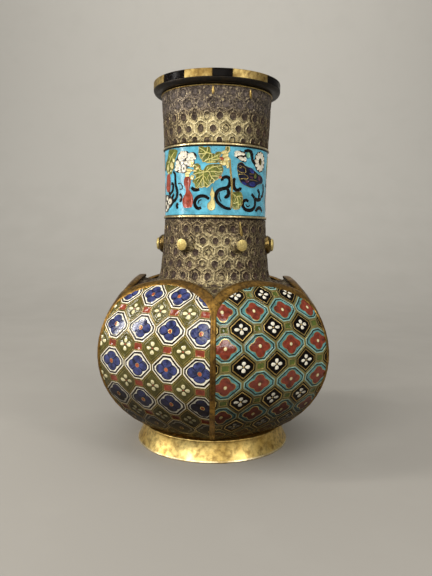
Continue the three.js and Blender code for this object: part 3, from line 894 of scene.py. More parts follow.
def diamondTile(body, design, luck):
    looks = design["looks"]
    cornerX, cornerY = design["corner"]
    reach, tall = design["pitch"][0] / 2 - cornerX, design["pitch"][1] / 2 - design["side"]
    corners = [(0, tall), (-reach, cornerY), (-reach, -cornerY),
               (0, -tall), (reach, -cornerY), (reach, cornerY)]
    ground = looks.index(design["diamondField"])
    face = cutLongEdges(body, cornerFace(body, corners, ground), panelField["longEdge"], design["cuts"])
    insetRings(body, face, design["diamond"], looks)
    level = sum(vert.co.z for vert in face.verts) / len(face.verts)
    edges = list(face.edges)
    bmesh.ops.delete(body, geom=[face], context="FACES_ONLY")
    full, taper = panelField["petalTaper"]
    caps = []
    for petal in range(5):  # four petals, and a seed in the middle
        outward = Vector((math.cos(petal * math.pi / 2), math.sin(petal * math.pi / 2)))
        isSeed = petal == 4
        shake = [1 + luck.uniform(-1, 1) * panelField["petalShake"] for part in range(3)]
        count = panelField["seedCorners" if isSeed else "petalCorners"]
        verts = bmesh.ops.create_circle(body, cap_ends=True, segments=count, radius=1.0)["verts"]
        for vert in verts:
            along, across = vert.co.y, vert.co.x
            if isSeed:
                spot = Vector((along, across)) * design["seed"]
            else:
                spot = outward * (design["petalReach"] * shake[0] + along * design["petal"][1] * shake[1])
                width = across * (full + taper * along) * design["petal"][0] * shake[2]
                spot += Vector((-outward.y, outward.x)) * width
            vert.co = Vector((spot.x * design["petalStretch"], spot.y, level))
        cap = verts[0].link_faces[0]
        faceUp(cap)
        cap.material_index = looks.index(design["seedLook"] if isSeed else design["petalLook"])
        caps.append(cap)
        edges += list(cap.edges)
    filled = bmesh.ops.triangle_fill(body, use_beauty=True, use_dissolve=False, edges=edges, normal=(0, 0, 1))
    for part in filled["geom"]:
        if isinstance(part, bmesh.types.BMFace):
            part.material_index = ground
            faceUp(part)
    for cap in caps:
        insetRing(body, cap, *panelField["petalCap"], cap.material_index)


def squareTile(body, design, luck):
    x, y = design["corner"]
    looks = design["looks"]
    face = cornerFace(body, [(x, y), (-x, y), (-x, -y), (x, -y)], looks.index(design["squareField"]))
    insetRings(body, face, design["square"], looks)


def flatPattern(design):
    luck = random.Random(panelField["seed"])
    tiles = []
    for maker, place in ((octagonTile, (0, 0)), (squareTile, (0, 0.5)), (diamondTile, (0.5, 0.5))):
        meshes = []
        for variant in range(panelField["variants"]):
            tile = bmesh.new()
            maker(tile, design, luck)
            mesh = bpy.data.meshes.new("tile")
            tile.to_mesh(mesh)
            tile.free()
            meshes.append(mesh)
        tiles.append((meshes, place))
    sheet = bmesh.new()
    pitchX, pitchY = design["pitch"]
    spareX, spareY = pitchX * panelField["spare"], pitchY * panelField["spare"]
    low = runAtHeight(form["base"] + form["footBorder"]) - spareY
    high = runAtHeight(tipLevel + form["archRise"]) + spareY
    for row in panelField["rows"]:
        for column in panelField["columns"]:
            for meshes, (shiftX, shiftY) in tiles:
                x = design["start"][0] + (column + shiftX) * pitchX
                y = design["start"][1] + (row + shiftY) * pitchY
                if abs(x) > halfWidthAt(middleLevel) + spareX or not low < y < high:
                    continue
                count = len(sheet.verts)
                sheet.from_mesh(luck.choice(meshes))
                sheet.verts.ensure_lookup_table()
                bmesh.ops.translate(sheet, vec=(x, y, 0), verts=sheet.verts[count:])
    for meshes, place in tiles:
        for mesh in meshes:
            bpy.data.meshes.remove(mesh)
    bmesh.ops.remove_doubles(sheet, verts=sheet.verts, dist=touch)
    for vert in sheet.verts:
        spot = Vector((vert.co.x, vert.co.y, pitchX)) / panelField["warpSize"]
        push = noise.noise_vector(spot) * panelField["warp"]
        vert.co.x += push.x
        vert.co.y += push.y
    return sheet


def cut(sheet, point, outward, clear):
    everything = sheet.verts[:] + sheet.edges[:] + sheet.faces[:]
    bmesh.ops.bisect_plane(sheet, geom=everything, dist=0.0005, plane_co=point, plane_no=outward,
                           clear_outer=clear)


# how much a design narrows with its panel
def narrowing(height, follow):
    return 1 - follow * (1 - halfWidthAt(height) / halfWidthAt(middleLevel))


# edge of the enamel in the flat, anticlockwise from the lower right corner
def panelOutline(follow):
    low = form["base"] + form["footBorder"] + bulb["pocketGap"]
    high = tipLevel - form["tipBorder"]
    side = [low + (high - low) * step / panelField["sideCuts"] for step in range(panelField["sideCuts"])]
    turns = [math.pi * step / panelField["archCuts"] for step in range(panelField["archCuts"] + 1)]
    edge = [(1.0, height) for height in side]
    edge += [(math.cos(turn), enamelTop(math.cos(turn)) - bulb["pocketGap"]) for turn in turns]
    edge += [(-1.0, height) for height in reversed(side)]
    spots = []
    for share, height in edge:
        across = share * (halfWidthAt(height) - panelField["edge"])
        spots.append(Vector((across / narrowing(height, follow), runAtHeight(height), 0)))
    return spots


def makePanels():
    flat = {}
    for name, design in (("olive", oliveDesign), ("turquoise", turquoiseDesign)):
        sheet = flatPattern(design)
        outline = panelOutline(design["follow"])
        for place, first in enumerate(outline):
            along = outline[(place + 1) % len(outline)] - first
            cut(sheet, first, (along.y, -along.x, 0), True)
        mesh = bpy.data.meshes.new(name + "Flat")
        sheet.to_mesh(mesh)
        sheet.free()
        flat[name] = mesh
        print("pattern", name, "has", len(mesh.polygons), "faces")
    for panel in range(form["panels"]):
        kind = "turquoise" if panel % 2 == 0 else "olive"
        design = turquoiseDesign if kind == "turquoise" else oliveDesign
        body = bmesh.new()
        body.from_mesh(flat[kind])
        for vert in body.verts:
            height = heightAtRun(vert.co.y)
            share = vert.co.x * narrowing(height, design["follow"]) / halfWidthAt(height)
            vert.co = panelSpot(panel, share, height, panelField["sink"] - vert.co.z)
        piece = settle(body, "enamelPanel" + str(panel + 1), design["looks"],
                       ["enamel_panel_" + str(panel + 1)], panelField["sharp"])
        thicken(piece, panelField["depth"])
    for mesh in flat.values():
        bpy.data.meshes.remove(mesh)


makePanels()


# chased honeycomb on the neck, the collar and the shoulder

chasing = {
    "cell": 8.1, "rowPitch": 7.6, "around": 28, "line": 0.2, "slope": 0.3, "drop": 0.28, "variants": 11,
    "seed": 11,
    "ring": (0.285, 0.35), "ringShake": 0.1, "ringShift": 0.25, "ringRise": 0.26, "ringWidth": 0.22,
    "pitSlope": 0.42, "pitDrop": 0.5, "filled": 0.1, "looks": ["chasedLine", "chasedGround", "chasedPit"],
    "warp": 0.5, "warpSize": 9.0, "calm": 4.0,
    "upper": (206.1, 241.9, 1.0), "lower": (122.0, 156.9, 2.1), "fillet": 11.6, "turn": (3.2, 0.0),
    "shoulderAround": 42, "shoulderRow": 6.4, "shoulderRun": 22.0, "shoulderGrowth": 0.012,
    "shoulderCalm": 0.6,
    "shoulderSpare": 1.2, "shoulderCuts": 64, "leastWorn": 0.4, "ground": 0.2, "flatten": 0.6, "under": 0.06,
    "sharp": 45.0,
}


def chasedCell(width, rowPitch, luck):
    body = bmesh.new()
    verts = bmesh.ops.create_circle(body, cap_ends=True, segments=6, radius=width / math.sqrt(3))["verts"]
    bmesh.ops.scale(body, vec=(1, rowPitch / (width * math.sqrt(3) / 2), 1), verts=verts)
    face = verts[0].link_faces[0]
    faceUp(face)
    looks = chasing["looks"]
    face.material_index = looks.index("chasedPit")
    worn = luck.uniform(chasing["leastWorn"], 1.0)  # how much of the relief is left
    insetRings(body, face, [(chasing["line"], 0.0, "chasedLine"),
                            (chasing["slope"], -chasing["drop"] * worn, "chasedGround")], looks)
    face = cutLongEdges(body, face, 0.0, 1)
    insetRing(body, face, chasing["ground"], 0.0, looks.index("chasedGround"), False)
    shift = [luck.uniform(-1, 1) * chasing["ringShift"] for axis in range(2)]
    for vert in face.verts:
        turn = math.atan2(vert.co.y, vert.co.x)
        shake = 1 + luck.uniform(-1, 1) * chasing["ringShake"]
        vert.co.x = shift[0] + chasing["ring"][0] * width * shake * math.cos(turn)
        vert.co.y = shift[1] + chasing["ring"][1] * rowPitch * shake * math.sin(turn)
    insetRings(body, face, [(chasing["ringWidth"], chasing["ringRise"] * worn, "chasedLine"),
                            (chasing["pitSlope"], -chasing["pitDrop"] * worn, "chasedPit")], looks)
    if luck.random() < chasing["filled"]:
        face.material_index = looks.index("chasedGround")
    mesh = bpy.data.meshes.new("chasedCell")
    body.to_mesh(mesh)
    body.free()
    return mesh


# cells laid flat, x round the vase and y up to the edge at high
def honeycomb(width, rowPitch, around, low, high, phase):
    luck = random.Random(chasing["seed"])
    cells = [chasedCell(width, rowPitch, luck) for variant in range(chasing["variants"])]
    sheet = bmesh.new()
    rows = math.ceil((high - low) / rowPitch) + 1
    for row in range(-1, rows + 1):
        for column in range(around):
            count = len(sheet.verts)
            sheet.from_mesh(luck.choice(cells))
            sheet.verts.ensure_lookup_table()
            shift = ((column + 0.5 * (row % 2)) * width, low + phase + row * rowPitch, 0)
            bmesh.ops.translate(sheet, vec=shift, verts=sheet.verts[count:])
    for mesh in cells:
        bpy.data.meshes.remove(mesh)
    cut(sheet, (0, low, 0), (0, -1, 0), True)
    cut(sheet, (0, high, 0), (0, 1, 0), True)
    return sheet


# hand work is never even: cells wander a little, least at the edges of the sheet
def wander(sheet, calmness):
    for vert in sheet.verts:
        push = noise.noise_vector(vert.co / chasing["warpSize"]) * chasing["warp"]
        outward = Vector((vert.co.x, vert.co.y, 0)).normalized()
        push -= outward * push.dot(outward) * chasing["flatten"]
        vert.co += push * calmness[vert]


def finishSkin(sheet, name, calmness):
    wander(sheet, calmness)
    bmesh.ops.remove_doubles(sheet, verts=sheet.verts, dist=touch)
    piece = settle(sheet, name, chasing["looks"], (), chasing["sharp"])
    thicken(piece, form["skin"] - chasing["under"])


def edgeCalm(height, low, high):
    return min(1.0, max(0.0, min(height - low, high - height) / chasing["calm"]))


def makeUpperSkin():
    low, high, phase = chasing["upper"]
    sheet = honeycomb(chasing["cell"], chasing["rowPitch"], chasing["around"], low, high, phase)
    length = chasing["cell"] * chasing["around"]
    calmness = {}
    for vert in sheet.verts:
        calmness[vert] = edgeCalm(vert.co.y, low, high)
        azimuth = vert.co.x / length * 2 * math.pi + math.radians(chasing["turn"][0])
        vert.co = onTurn(azimuth, neckRadius(vert.co.y) + vert.co.z, vert.co.y)
    finishSkin(sheet, "neckSkinUpper", calmness)


# the lower zone runs down the neck and out along the fillet to the valley
def makeLowerSkin():
    low, high, phase = chasing["lower"]
    foot = low - chasing["fillet"]
    sheet = honeycomb(chasing["cell"], chasing["rowPitch"], chasing["around"], foot, high, phase)
    length = chasing["cell"] * chasing["around"]
    wide, tall = form["valleyRadius"] - form["collarRadius"], collarLevel - valleyLevel
    calmness = {}
    for vert in sheet.verts:
        calmness[vert] = edgeCalm(vert.co.y, foot, high)
        azimuth = vert.co.x / length * 2 * math.pi + math.radians(chasing["turn"][1])
        lift = vert.co.z
        if vert.co.y >= low:
            vert.co = onTurn(azimuth, neckRadius(vert.co.y) + lift, vert.co.y)
            continue
        turn = math.pi / 2 * (vert.co.y - foot) / chasing["fillet"]
        radius = form["valleyRadius"] - (wide - lift) * math.sin(turn)
        vert.co = onTurn(azimuth, radius, valleyLevel + tall * (1 - math.cos(turn)) + lift * math.cos(turn))
    finishSkin(sheet, "neckSkinLower", calmness)


def shoulderEnds():
    rows = []
    for step in range(chasing["shoulderCuts"] + 1):
        share = math.sin((step / chasing["shoulderCuts"] - 0.5) * math.pi)
        top = archAt(share, form["archRise"])
        end = panelSpot(0, share, top - form["lipRise"], form["lipWidth"])
        turn = math.atan2(end.x, -end.y) - halfPanel
        rows.append((turn, math.hypot(end.x, end.y), end.z))
    turns = [row[0] for row in rows]
    return turns, [row[1] for row in rows], [row[2] for row in rows]


def makeShoulderSkin():
    around = chasing["shoulderAround"]
    cell = 2 * math.pi * form["valleyRadius"] / around
    sheet = honeycomb(cell, chasing["shoulderRow"], around, -chasing["shoulderRun"], 0.0, 0.0)
    turns, reaches, levels = shoulderEnds()
    outside, calmness = {}, {}
    for vert in sheet.verts:
        azimuth = vert.co.x / (cell * around) * 2 * math.pi
        run = -vert.co.y
        calmness[vert] = min(1.0, run / chasing["calm"]) * chasing["shoulderCalm"]
        local = (azimuth % (2 * halfPanel)) - halfPanel
        reach = between(turns, reaches, local)
        level = between(turns, levels, local)
        radius = form["valleyRadius"] + run + chasing["shoulderGrowth"] * run * run
        farthest = reach + chasing["shoulderSpare"]
        outside[vert] = radius > farthest
        radius = min(radius, farthest)
        share = min(1.0, max(0.0, (radius - form["valleyRadius"]) / (reach - form["valleyRadius"])))
        height = valleyLevel + (level - valleyLevel) * share ** form["shoulderCurve"]
        vert.co = onTurn(azimuth, radius, height + vert.co.z)
    spare = [face for face in sheet.faces if all(outside[vert] for vert in face.verts)]
    bmesh.ops.delete(sheet, geom=spare, context="FACES")
    calmness = {vert: calmness[vert] for vert in sheet.verts}
    finishSkin(sheet, "shoulderSkin", calmness)


makeUpperSkin()
makeLowerSkin()
makeShoulderSkin()


# a thin bead under the rim, and drops of solder on the neck by turn, height, half sizes and lean
solder = {
    "edge": (241.3, 0.42), "sunk": 0.1, "proud": 0.45, "arc": 100, "arcSteps": 8, "steps": 120,
    "runs": ((-3.5, 238.2, 0.8, 3.0, 0.0), (35.0, 237.4, 0.9, 3.2, 0.3), (28.3, 150.0, 1.0, 5.6, 0.9)),
    "rise": 0.5, "taper": 0.35, "dropSteps": (16, 10), "sharp": 60.0,
}


def makeSolder():
    level, half = solder["edge"]
    middle = (neckRadius(level) - solder["sunk"], level)
    profile = arcPoints(middle, solder["proud"], half, -solder["arc"], solder["arc"], solder["arcSteps"])
    body = turned(profile, solder["steps"])
    around, upward = solder["dropSteps"]
    for degrees, height, halfWidth, halfHeight, lean in solder["runs"]:
        drop = bmesh.ops.create_uvsphere(body, u_segments=around, v_segments=upward, radius=1.0)["verts"]
        turn = Matrix.Rotation(math.radians(degrees), 4, "Z")
        place = turn @ Matrix.Translation((0, -neckRadius(height), height))
        for vert in drop:
            taper = 1 - solder["taper"] * vert.co.z
            across = vert.co.x * halfWidth * taper - vert.co.z * lean
            vert.co = place @ Vector((across, vert.co.y * solder["rise"], vert.co.z * halfHeight))
    settle(body, "neckSolder", ["wire"], (), solder["sharp"])


makeSolder()


# neck tube under the skins, and the rings that edge the band

neck = {
    "spigotBore": 32.2, "spigotRadius": 35.0, "spigotLength": 11.0, "wall": 3.2, "steps": 96,
    "channel": (157.0, 206.0), "channelDepth": 1.4, "rimSpigot": (36.7, 3.0),
    "rings": (("neckRingLower", 157.3, "neck_ring_lower"), ("neckRingUpper", 203.6, "neck_ring_upper")),
    "ringHeight": 2.1, "ringProud": 0.7, "ringShade": 0.5, "ringSink": 0.1, "ringRound": 0.94, "ringArc": 88,
    "ringSteps": 8, "band": (159.7, 203.3), "bandSink": 0.12, "bandRows": 14, "bandSteps": 144,
    "floorGap": 0.3,
    "wallRows": 8, "channelRows": 10, "edgeGap": 0.01,
}


def wallLine(low, high, offset, steps):
    heights = [low + (high - low) * step / steps for step in range(steps + 1)]
    return [(neckRadius(height) + offset, height) for height in heights]


def makeNeck():
    low, high = neck["channel"]
    gap, seat = neck["edgeGap"], -form["skin"]
    spigotEnd = collarLevel - neck["spigotLength"]
    rimRadius, rimRise = neck["rimSpigot"]
    outline = [(neck["spigotBore"], spigotEnd), (neck["spigotRadius"], spigotEnd),
               (neck["spigotRadius"], collarLevel)]
    outline += wallLine(collarLevel, low, seat, neck["wallRows"])
    outline += wallLine(low + gap, high - gap, -neck["channelDepth"], neck["channelRows"])
    outline += wallLine(high, rimLevel, seat, neck["wallRows"])
    outline += [(rimRadius, rimLevel), (rimRadius, rimLevel + rimRise),
                (form["neckTopRadius"] - neck["wall"], rimLevel + rimRise)]
    outline += wallLine(rimLevel, waistLevel, -neck["wall"], neck["channelRows"])
    outline += [(neck["spigotBore"], collarLevel)]
    settle(turned(outline, neck["steps"]), "neckTube", ["darkBronze"], ["neck_tube"])
    channelFloor = neck["floorGap"] - neck["channelDepth"]
    for name, bottom, node in neck["rings"]:
        half = neck["ringHeight"] / 2
        middle, top = bottom + half, bottom + neck["ringHeight"]
        face = neckRadius(middle)
        front, back = face - neck["ringSink"], face + channelFloor
        profile = [(back, bottom), (front, bottom)]
        profile += arcPoints((face, middle), neck["ringProud"], half * neck["ringRound"], -neck["ringArc"],
                             neck["ringArc"], neck["ringSteps"])
        profile += [(front, top), (back, top)]
        body = turned(profile, neck["steps"])
        for part in body.faces:
            part.material_index = 1 if part.calc_center_median().z < middle - neck["ringShade"] else 0
        settle(body, name, ["ringBrass", "rimShade"], [node])
    bottom, top = neck["band"]
    profile = wallLine(bottom, top, -neck["bandSink"], neck["bandRows"])
    profile += wallLine(top, bottom, channelFloor, neck["bandRows"])
    settle(turned(profile, neck["bandSteps"]), "neckBand", ["sky"], ["neck_band_enamel"])


makeNeck()


# ornament on the band: points read off the enlarged photo, or arc from the front and height where
# it shows none; all is laid round the neck, and the same again at the back

ornament = {
    "radius": 36.0, "sunk": -0.2, "rise": 0.24, "dip": 0.05, "slope": 0.05, "wire": 0.26, "ovalWire": 0.2,
    "ovalCorners": 12, "slice": 2.4, "edge": (159.8, 203.2), "depth": 0.25, "lineSteps": 4, "sharp": 50.0,
    "firstPixel": (160, 142), "enlarged": 20, "pixelsPerMm": 1.531, "reach": (159.6, 203.4),
    "leastFacing": 0.45,
}

leaves = {
    "looks": ["leafGreen", "wire", "leafVein"],
    "veinWidth": 0.3, "veinLevel": 0.08, "fineWidth": 0.17, "fineLevel": 0.06,
    "shapes": (
        ((668, 480), (705, 432), (770, 432), (812, 480), (822, 540), (865, 560), (893, 512), (930, 470),
         (985, 446), (1067, 440), (1150, 436), (1215, 448), (1255, 490), (1268, 560), (1250, 620),
         (1225, 677), (1190, 700),
         (1167, 743), (1100, 777), (1075, 820), (1033, 827), (985, 880), (933, 910), (885, 895), (833, 918),
         (790, 905), (750, 935), (700, 905), (690, 840), (650, 800), (665, 755), (715, 710), (690, 660),
         (650, 630),
         (690, 590), (672, 530)),
        ((770, 90), (835, 72), (905, 105), (955, 85), (1000, 100), (1012, 160), (1030, 215), (1090, 235),
         (1140, 195), (1200, 190), (1240, 215), (1215, 270), (1190, 300), (1210, 350), (1180, 400),
         (1120, 425), (1050, 420),
         (960, 425), (900, 400), (850, 400), (830, 350), (800, 320), (785, 270), (765, 230), (775, 160)),
        ((185, 155), (270, 140), (345, 165), (340, 240), (310, 330), (290, 420), (285, 520), (250, 580),
         (230, 640), (180, 650), (140, 600), (120, 520), (125, 420), (150, 340), (165, 260), (175, 200)),
        ((1440, 1010), (1500, 995), (1600, 990), (1640, 1030), (1660, 1120), (1650, 1220), (1620, 1290),
         (1590, 1340), (1520, 1350), (1450, 1330), (1440, 1230), (1435, 1110)),
    ),
    "sideShapes": (
        ((49.5, 199), (54, 201.5), (58.5, 198.5), (60, 193.5), (57.5, 188.5), (53.5, 186), (50, 189),
         (48, 194)),
    ),
    "veins": (
        ((870, 560), (866, 640), (866, 720), (880, 800), (884, 890)),
        ((868, 600), (930, 590), (985, 540), (1060, 500), (1150, 480), (1225, 476)),
        ((935, 588), (985, 600), (1012, 680), (1065, 740), (1090, 772)),
        ((985, 592), (1080, 585), (1160, 600), (1245, 590)), ((866, 640), (800, 690), (740, 720), (690, 760)),
        ((866, 600), (800, 560), (740, 500), (700, 460)), ((866, 700), (820, 780), (770, 860), (740, 905)),
        ((876, 780), (920, 820), (960, 870)), ((866, 615), (800, 615), (740, 625), (690, 645)),
        ((1012, 680), (1080, 680), (1150, 680), (1190, 690)), ((780, 110), (850, 150), (930, 212)),
        ((770, 230), (850, 235), (930, 212), (1000, 225), (1040, 240)), ((950, 100), (945, 160), (930, 212)),
        ((1040, 232), (1040, 320), (1035, 412)), ((880, 390), (950, 345), (1050, 320)),
        ((930, 415), (1000, 400), (1110, 392)), ((830, 340), (860, 290), (920, 230)),
        ((1040, 320), (1110, 290), (1190, 240)), ((1040, 360), (1110, 350), (1190, 330)),
        ((1450, 1030), (1530, 1100), (1560, 1200), (1560, 1330)), ((1530, 1100), (1590, 1080), (1640, 1090)),
        ((1560, 1200), (1510, 1220), (1455, 1230)), ((290, 200), (230, 300), (190, 400), (160, 520)),
    ),
    "sideVeins": (
        ((54, 187), (54.2, 193.5), (54, 200.2)), ((54, 190.5), (56.6, 193.5), (58.8, 195.6)),
        ((54, 190.5), (51.6, 193.2), (49.6, 195)),
    ),
    "fine": (
        ((-6.2, 187.4), (-5.6, 189.4), (-4.6, 191)), ((-3.2, 189.6), (-1.4, 191.4)),
        ((0.4, 190.6), (2.2, 188.9), (4.2, 189.2)), ((-1.4, 187.3), (0.2, 185.8), (2.6, 185.6)),
        ((-3.9, 185.8), (-5.2, 183.6), (-4.6, 181)), ((-2.6, 183.4), (-3.4, 181.2)),
        ((-8.2, 184.6), (-6.6, 183.2), (-6, 181.4)), ((-10.2, 184.2), (-11.6, 181.8), (-13, 180.2)),
        ((-9.6, 188), (-11.2, 187.4)), ((-11.2, 189), (-13.6, 188.4)), ((-9.4, 180.8), (-9.6, 178.4)),
        ((-10.6, 200.2), (-9, 200)), ((-8.4, 198.5), (-8.2, 196.2)),
        ((-4.2, 198.8), (-4.6, 196.4), (-5.6, 195.2)),
        ((-1.4, 196.2), (-0.6, 198)), ((0.6, 197.2), (1.4, 195.8)), ((-4.4, 193.1), (-3.9, 195.1)),
        ((12.4, 172.8), (13.6, 169.6), (12.8, 168.2)), ((16.2, 172), (17.6, 169.6)),
        ((15.5, 166.2), (17.4, 166.8)),
        ((-36, 197.4), (-38.4, 199.2)), ((-38, 195.2), (-41.6, 195.2)), ((-34, 198.8), (-33.4, 195.6)),
    ),
}
fruit = {
    "looks": ["gourdRed", "gourdCream", "wire", "orange"],
    "bitGrowth": 1.2, "bitLevel": 0.06, "bitStep": 0.02, "bitSteps": 3,
    "red": (
        ((540, 690), (590, 700), (615, 760), (610, 850), (598, 900), (590, 960), (620, 1010), (650, 1080),
         (660, 1160), (650, 1240), (635, 1300), (580, 1315), (480, 1312), (455, 1250), (445, 1170),
         (470, 1090), (510, 1020),
         (515, 950), (490, 880), (475, 800), (490, 720)),
        ((148, 660), (200, 660), (212, 860), (195, 990), (150, 1000), (128, 910), (138, 760)),
    ),
    "cream": (
        ((1040, 885), (1058, 950), (1088, 1000), (1092, 1060), (1076, 1125), (1102, 1195), (1106, 1295),
         (1066, 1362), (990, 1364), (945, 1310), (952, 1230), (1000, 1175), (1014, 1110), (998, 1050),
         (1012, 985)),
    ),
    "creamBits": (
        (280, 365, 24, 36, -30), (240, 470, 30, 66, 35), (165, 520, 20, 60, -10), (228, 575, 22, 22),
        (178, 615, 18, 26),
        (630, 400, 46, 36), (640, 470, 48, 30, 10), (585, 560, 58, 28, -8), (560, 612, 52, 26, 10),
        (545, 662, 44, 28),
        (640, 705, 36, 44, -20), (745, 520, 34, 26, 30), (690, 572, 46, 18, -10), (1265, 418, 62, 44, -10),
        (1330, 340, 58, 46, 20), (1310, 265, 58, 36, 25), (1350, 445, 30, 72, 5), (1285, 200, 58, 30, 20),
        (1355, 140, 44, 68), (1215, 395, 34, 22, 20),
    ),
    "orangeBits": ((1240, 330, 48, 28, -20), (1205, 700, 30, 26, 30), (760, 500, 26, 20, 20)),
}
blossoms = {
    "looks": ["white", "dark", "leafGreen", "mint", "olive"],
    "groundLevel": 0.02, "petalGrowth": (1.14, 1.12), "petalLevel": 0.08, "petalStep": 0.02, "petalSteps": 4,
    "heartLevel": 0.18,
    "grounds": (
        ((345, 300), (365, 250), (410, 195), (480, 178), (545, 182), (580, 212), (640, 200), (700, 212),
         (735, 270), (720, 330), (690, 350), (690, 430), (640, 500), (560, 500), (540, 540), (520, 615),
         (450, 630), (400, 615),
         (340, 615), (295, 575), (295, 510), (315, 450), (312, 380)),
        ((1488, 250), (1520, 190), (1590, 168), (1650, 185), (1700, 190), (1715, 250), (1725, 330),
         (1735, 385), (1690, 408), (1620, 378), (1570, 335), (1530, 312)),
        ((105, 1085), (180, 1060), (250, 1130), (248, 1230), (195, 1320), (145, 1400), (95, 1385),
         (98, 1250)),
    ),
    "petals": (
        (392, 300, 30, 52, -22), (430, 240, 26, 54, -8), (472, 228, 22, 46), (512, 250, 26, 64, 4),
        (580, 290, 26, 60, -4),
        (622, 262, 22, 48), (660, 270, 20, 50, 12), (692, 312, 18, 40, 22), (415, 352, 34, 30, 20),
        (352, 412, 36, 40),
        (345, 475, 36, 36), (330, 545, 34, 36), (390, 500, 26, 60, 8), (440, 410, 26, 40, 10),
        (520, 415, 36, 34),
        (590, 395, 26, 34), (478, 530, 42, 68), (480, 320, 20, 26), (585, 450, 34, 26), (400, 585, 30, 22),
    ),
    "addedPetals": (
        ((-19.4, 195.4), 1.1, 0.8, 10), ((-16.2, 195.5), 1.3, 0.75, 0), ((-23.6, 197.2), 0.9, 0.9, 0),
        ((-15.6, 194.1), 0.8, 0.8, 0),
    ),
    "smallBlossoms": (
        (1560, 222, 66, 42, -8), (1518, 268, 30, 26), (1655, 240, 42, 26, -6), (1625, 332, 52, 32, -18),
        (1698, 345, 28, 42), (150, 1130, 20, 44), (200, 1190, 38, 58), (130, 1235, 18, 38),
        (162, 1295, 20, 46, -15),
        (135, 1360, 22, 26),
    ),
    "daisy": (2003, 398, 118, 214), "daisyPetals": 12, "daisyRing": (0.6, 0.62), "daisyPetal": (1.3, 2.25),
    "daisyLevel": 0.1, "daisyHeart": ((35.0, 195.2), 1.3, 2.0, 0, "olive"),
    "hearts": (
        (1765, 265, 46, 64, 0, "mint"), (200, 1205, 10, 22, 0, "dark"), (478, 535, 12, 30, 0, "dark"),
        (1355, 140, 24, 48, 0, "leafGreen"),
    ),
}
bird = {
    "looks": ["birdBlue", "wire", "brightBlue", "dark", "plum", "leafGreen"],
    "patchLevel": 0.05, "eyeLevel": 0.08, "lineWidth": 0.26, "lineLevel": 0.1,
    "body": ((1545, 470), (1562, 428), (1605, 402), (1655, 412), (1700, 462), (1760, 492), (1830, 520),
             (1900, 585), (1965, 645), (2030, 690), (2055, 760), (2040, 830), (1975, 850), (1935, 880),
             (1880, 915), (1800, 915),
             (1720, 880), (1650, 840), (1600, 790), (1570, 700), (1552, 600), (1540, 530)),
    "patches": (
        (1840, 575, 56, 46, -30, "brightBlue"), (1680, 825, 58, 28, -20, "brightBlue"),
        (1850, 845, 66, 50, 0, "brightBlue"), (1830, 705, 44, 24, -10, "plum"),
        (1985, 730, 28, 52, 15, "plum"),
        (1905, 690, 26, 48, -10, "leafGreen"), (1740, 790, 40, 26, 10, "plum"),
    ),
    "eye": (1605, 490, 28, 30, 0, "dark"),
    "lines": (
        ((1640, 480), (1700, 520), (1715, 580), (1690, 630)),
        ((1570, 650), (1650, 640), (1730, 670), (1760, 720), (1700, 762)),
        ((1600, 740), (1680, 730), (1750, 735)),
        ((1790, 640), (1850, 640), (1920, 640)), ((1780, 760), (1860, 760), (1950, 790)),
        ((1560, 560), (1600, 600), (1680, 610)),
    ),
}
scrolls = {
    "looks": ["scroll", "wire"], "width": 1.28, "thinWidth": 0.45, "stemWidth": 0.72, "stemLevel": 0.02,
    "lines": (
        ((1250, 775), (1245, 738), (1280, 710), (1340, 698), (1388, 730), (1402, 790), (1385, 860),
         (1340, 915), (1230, 940), (1150, 985), (1118, 1080), (1140, 1180), (1205, 1255), (1290, 1310),
         (1370, 1332), (1420, 1330)),
        ((1345, 925), (1375, 1000), (1362, 1065), (1322, 1098), (1290, 1088)),
        ((1500, 720), (1478, 770), (1472, 850), (1490, 925), (1540, 965), (1600, 945), (1612, 908)),
        ((980, 1140), (915, 1092), (830, 1076), (750, 1105), (702, 1170), (692, 1240), (722, 1305),
         (772, 1330), (822, 1308)),
        ((628, 905), (668, 945), (730, 957), (785, 940)),
        ((262, 590), (300, 650), (305, 760), (312, 860), (338, 960), (342, 1050), (315, 1140), (262, 1200),
         (205, 1300)),
        ((352, 1335), (335, 1270), (365, 1225)),
        ((1830, 1040), (1888, 1118), (1902, 1210), (1890, 1300), (1838, 1358), (1760, 1366), (1690, 1330),
         (1656, 1260), (1668, 1190), (1722, 1162), (1768, 1190)),
        ((1888, 1128), (1958, 1160), (2020, 1140)), ((1910, 1390), (1958, 1330), (2000, 1320), (2042, 1395)),
        ((1690, 188), (1760, 172), (1825, 205), (1845, 290), (1855, 370), (1900, 440), (1950, 560)),
        ((225, 830), (262, 850), (255, 960), (225, 1020)),
    ),
    "sideLines": (
        ((40.6, 181.4), (41.8, 177.6), (40.4, 173.8), (37.6, 172.4)),
        ((33, 177.2), (35.4, 174.8), (34.6, 171.2)),
        ((-26.4, 173.4), (-25, 171), (-26, 168)), ((-32.6, 173.6), (-34.6, 171.2), (-33.6, 168.6)),
        ((-40.6, 176), (-38.4, 173.8), (-36.4, 174.6)),
        ((48, 180), (50, 183.4), (53.4, 183), (55, 179.4), (53, 175.6), (49.4, 172.6), (49, 168), (52, 164.4),
         (56, 164.2)),
        ((58.6, 182), (61.4, 178.6), (60.8, 173.6), (58, 171)),
        ((-49, 201), (-51.4, 197), (-50, 192.6), (-47, 190.6)),
    ),
    "thin": (
        ((358, 832), (410, 832), (446, 890), (432, 945), (392, 942)), ((760, 1240), (775, 1180), (830, 1150)),
        ((1190, 1010), (1180, 1100), (1225, 1190)), ((1715, 1240), (1745, 1290), (1800, 1270)),
    ),
    "stem": ((1402, 330), (1405, 480), (1415, 600), (1432, 760), (1436, 900), (1432, 1050), (1425, 1200),
             (1420, 1330)),
}


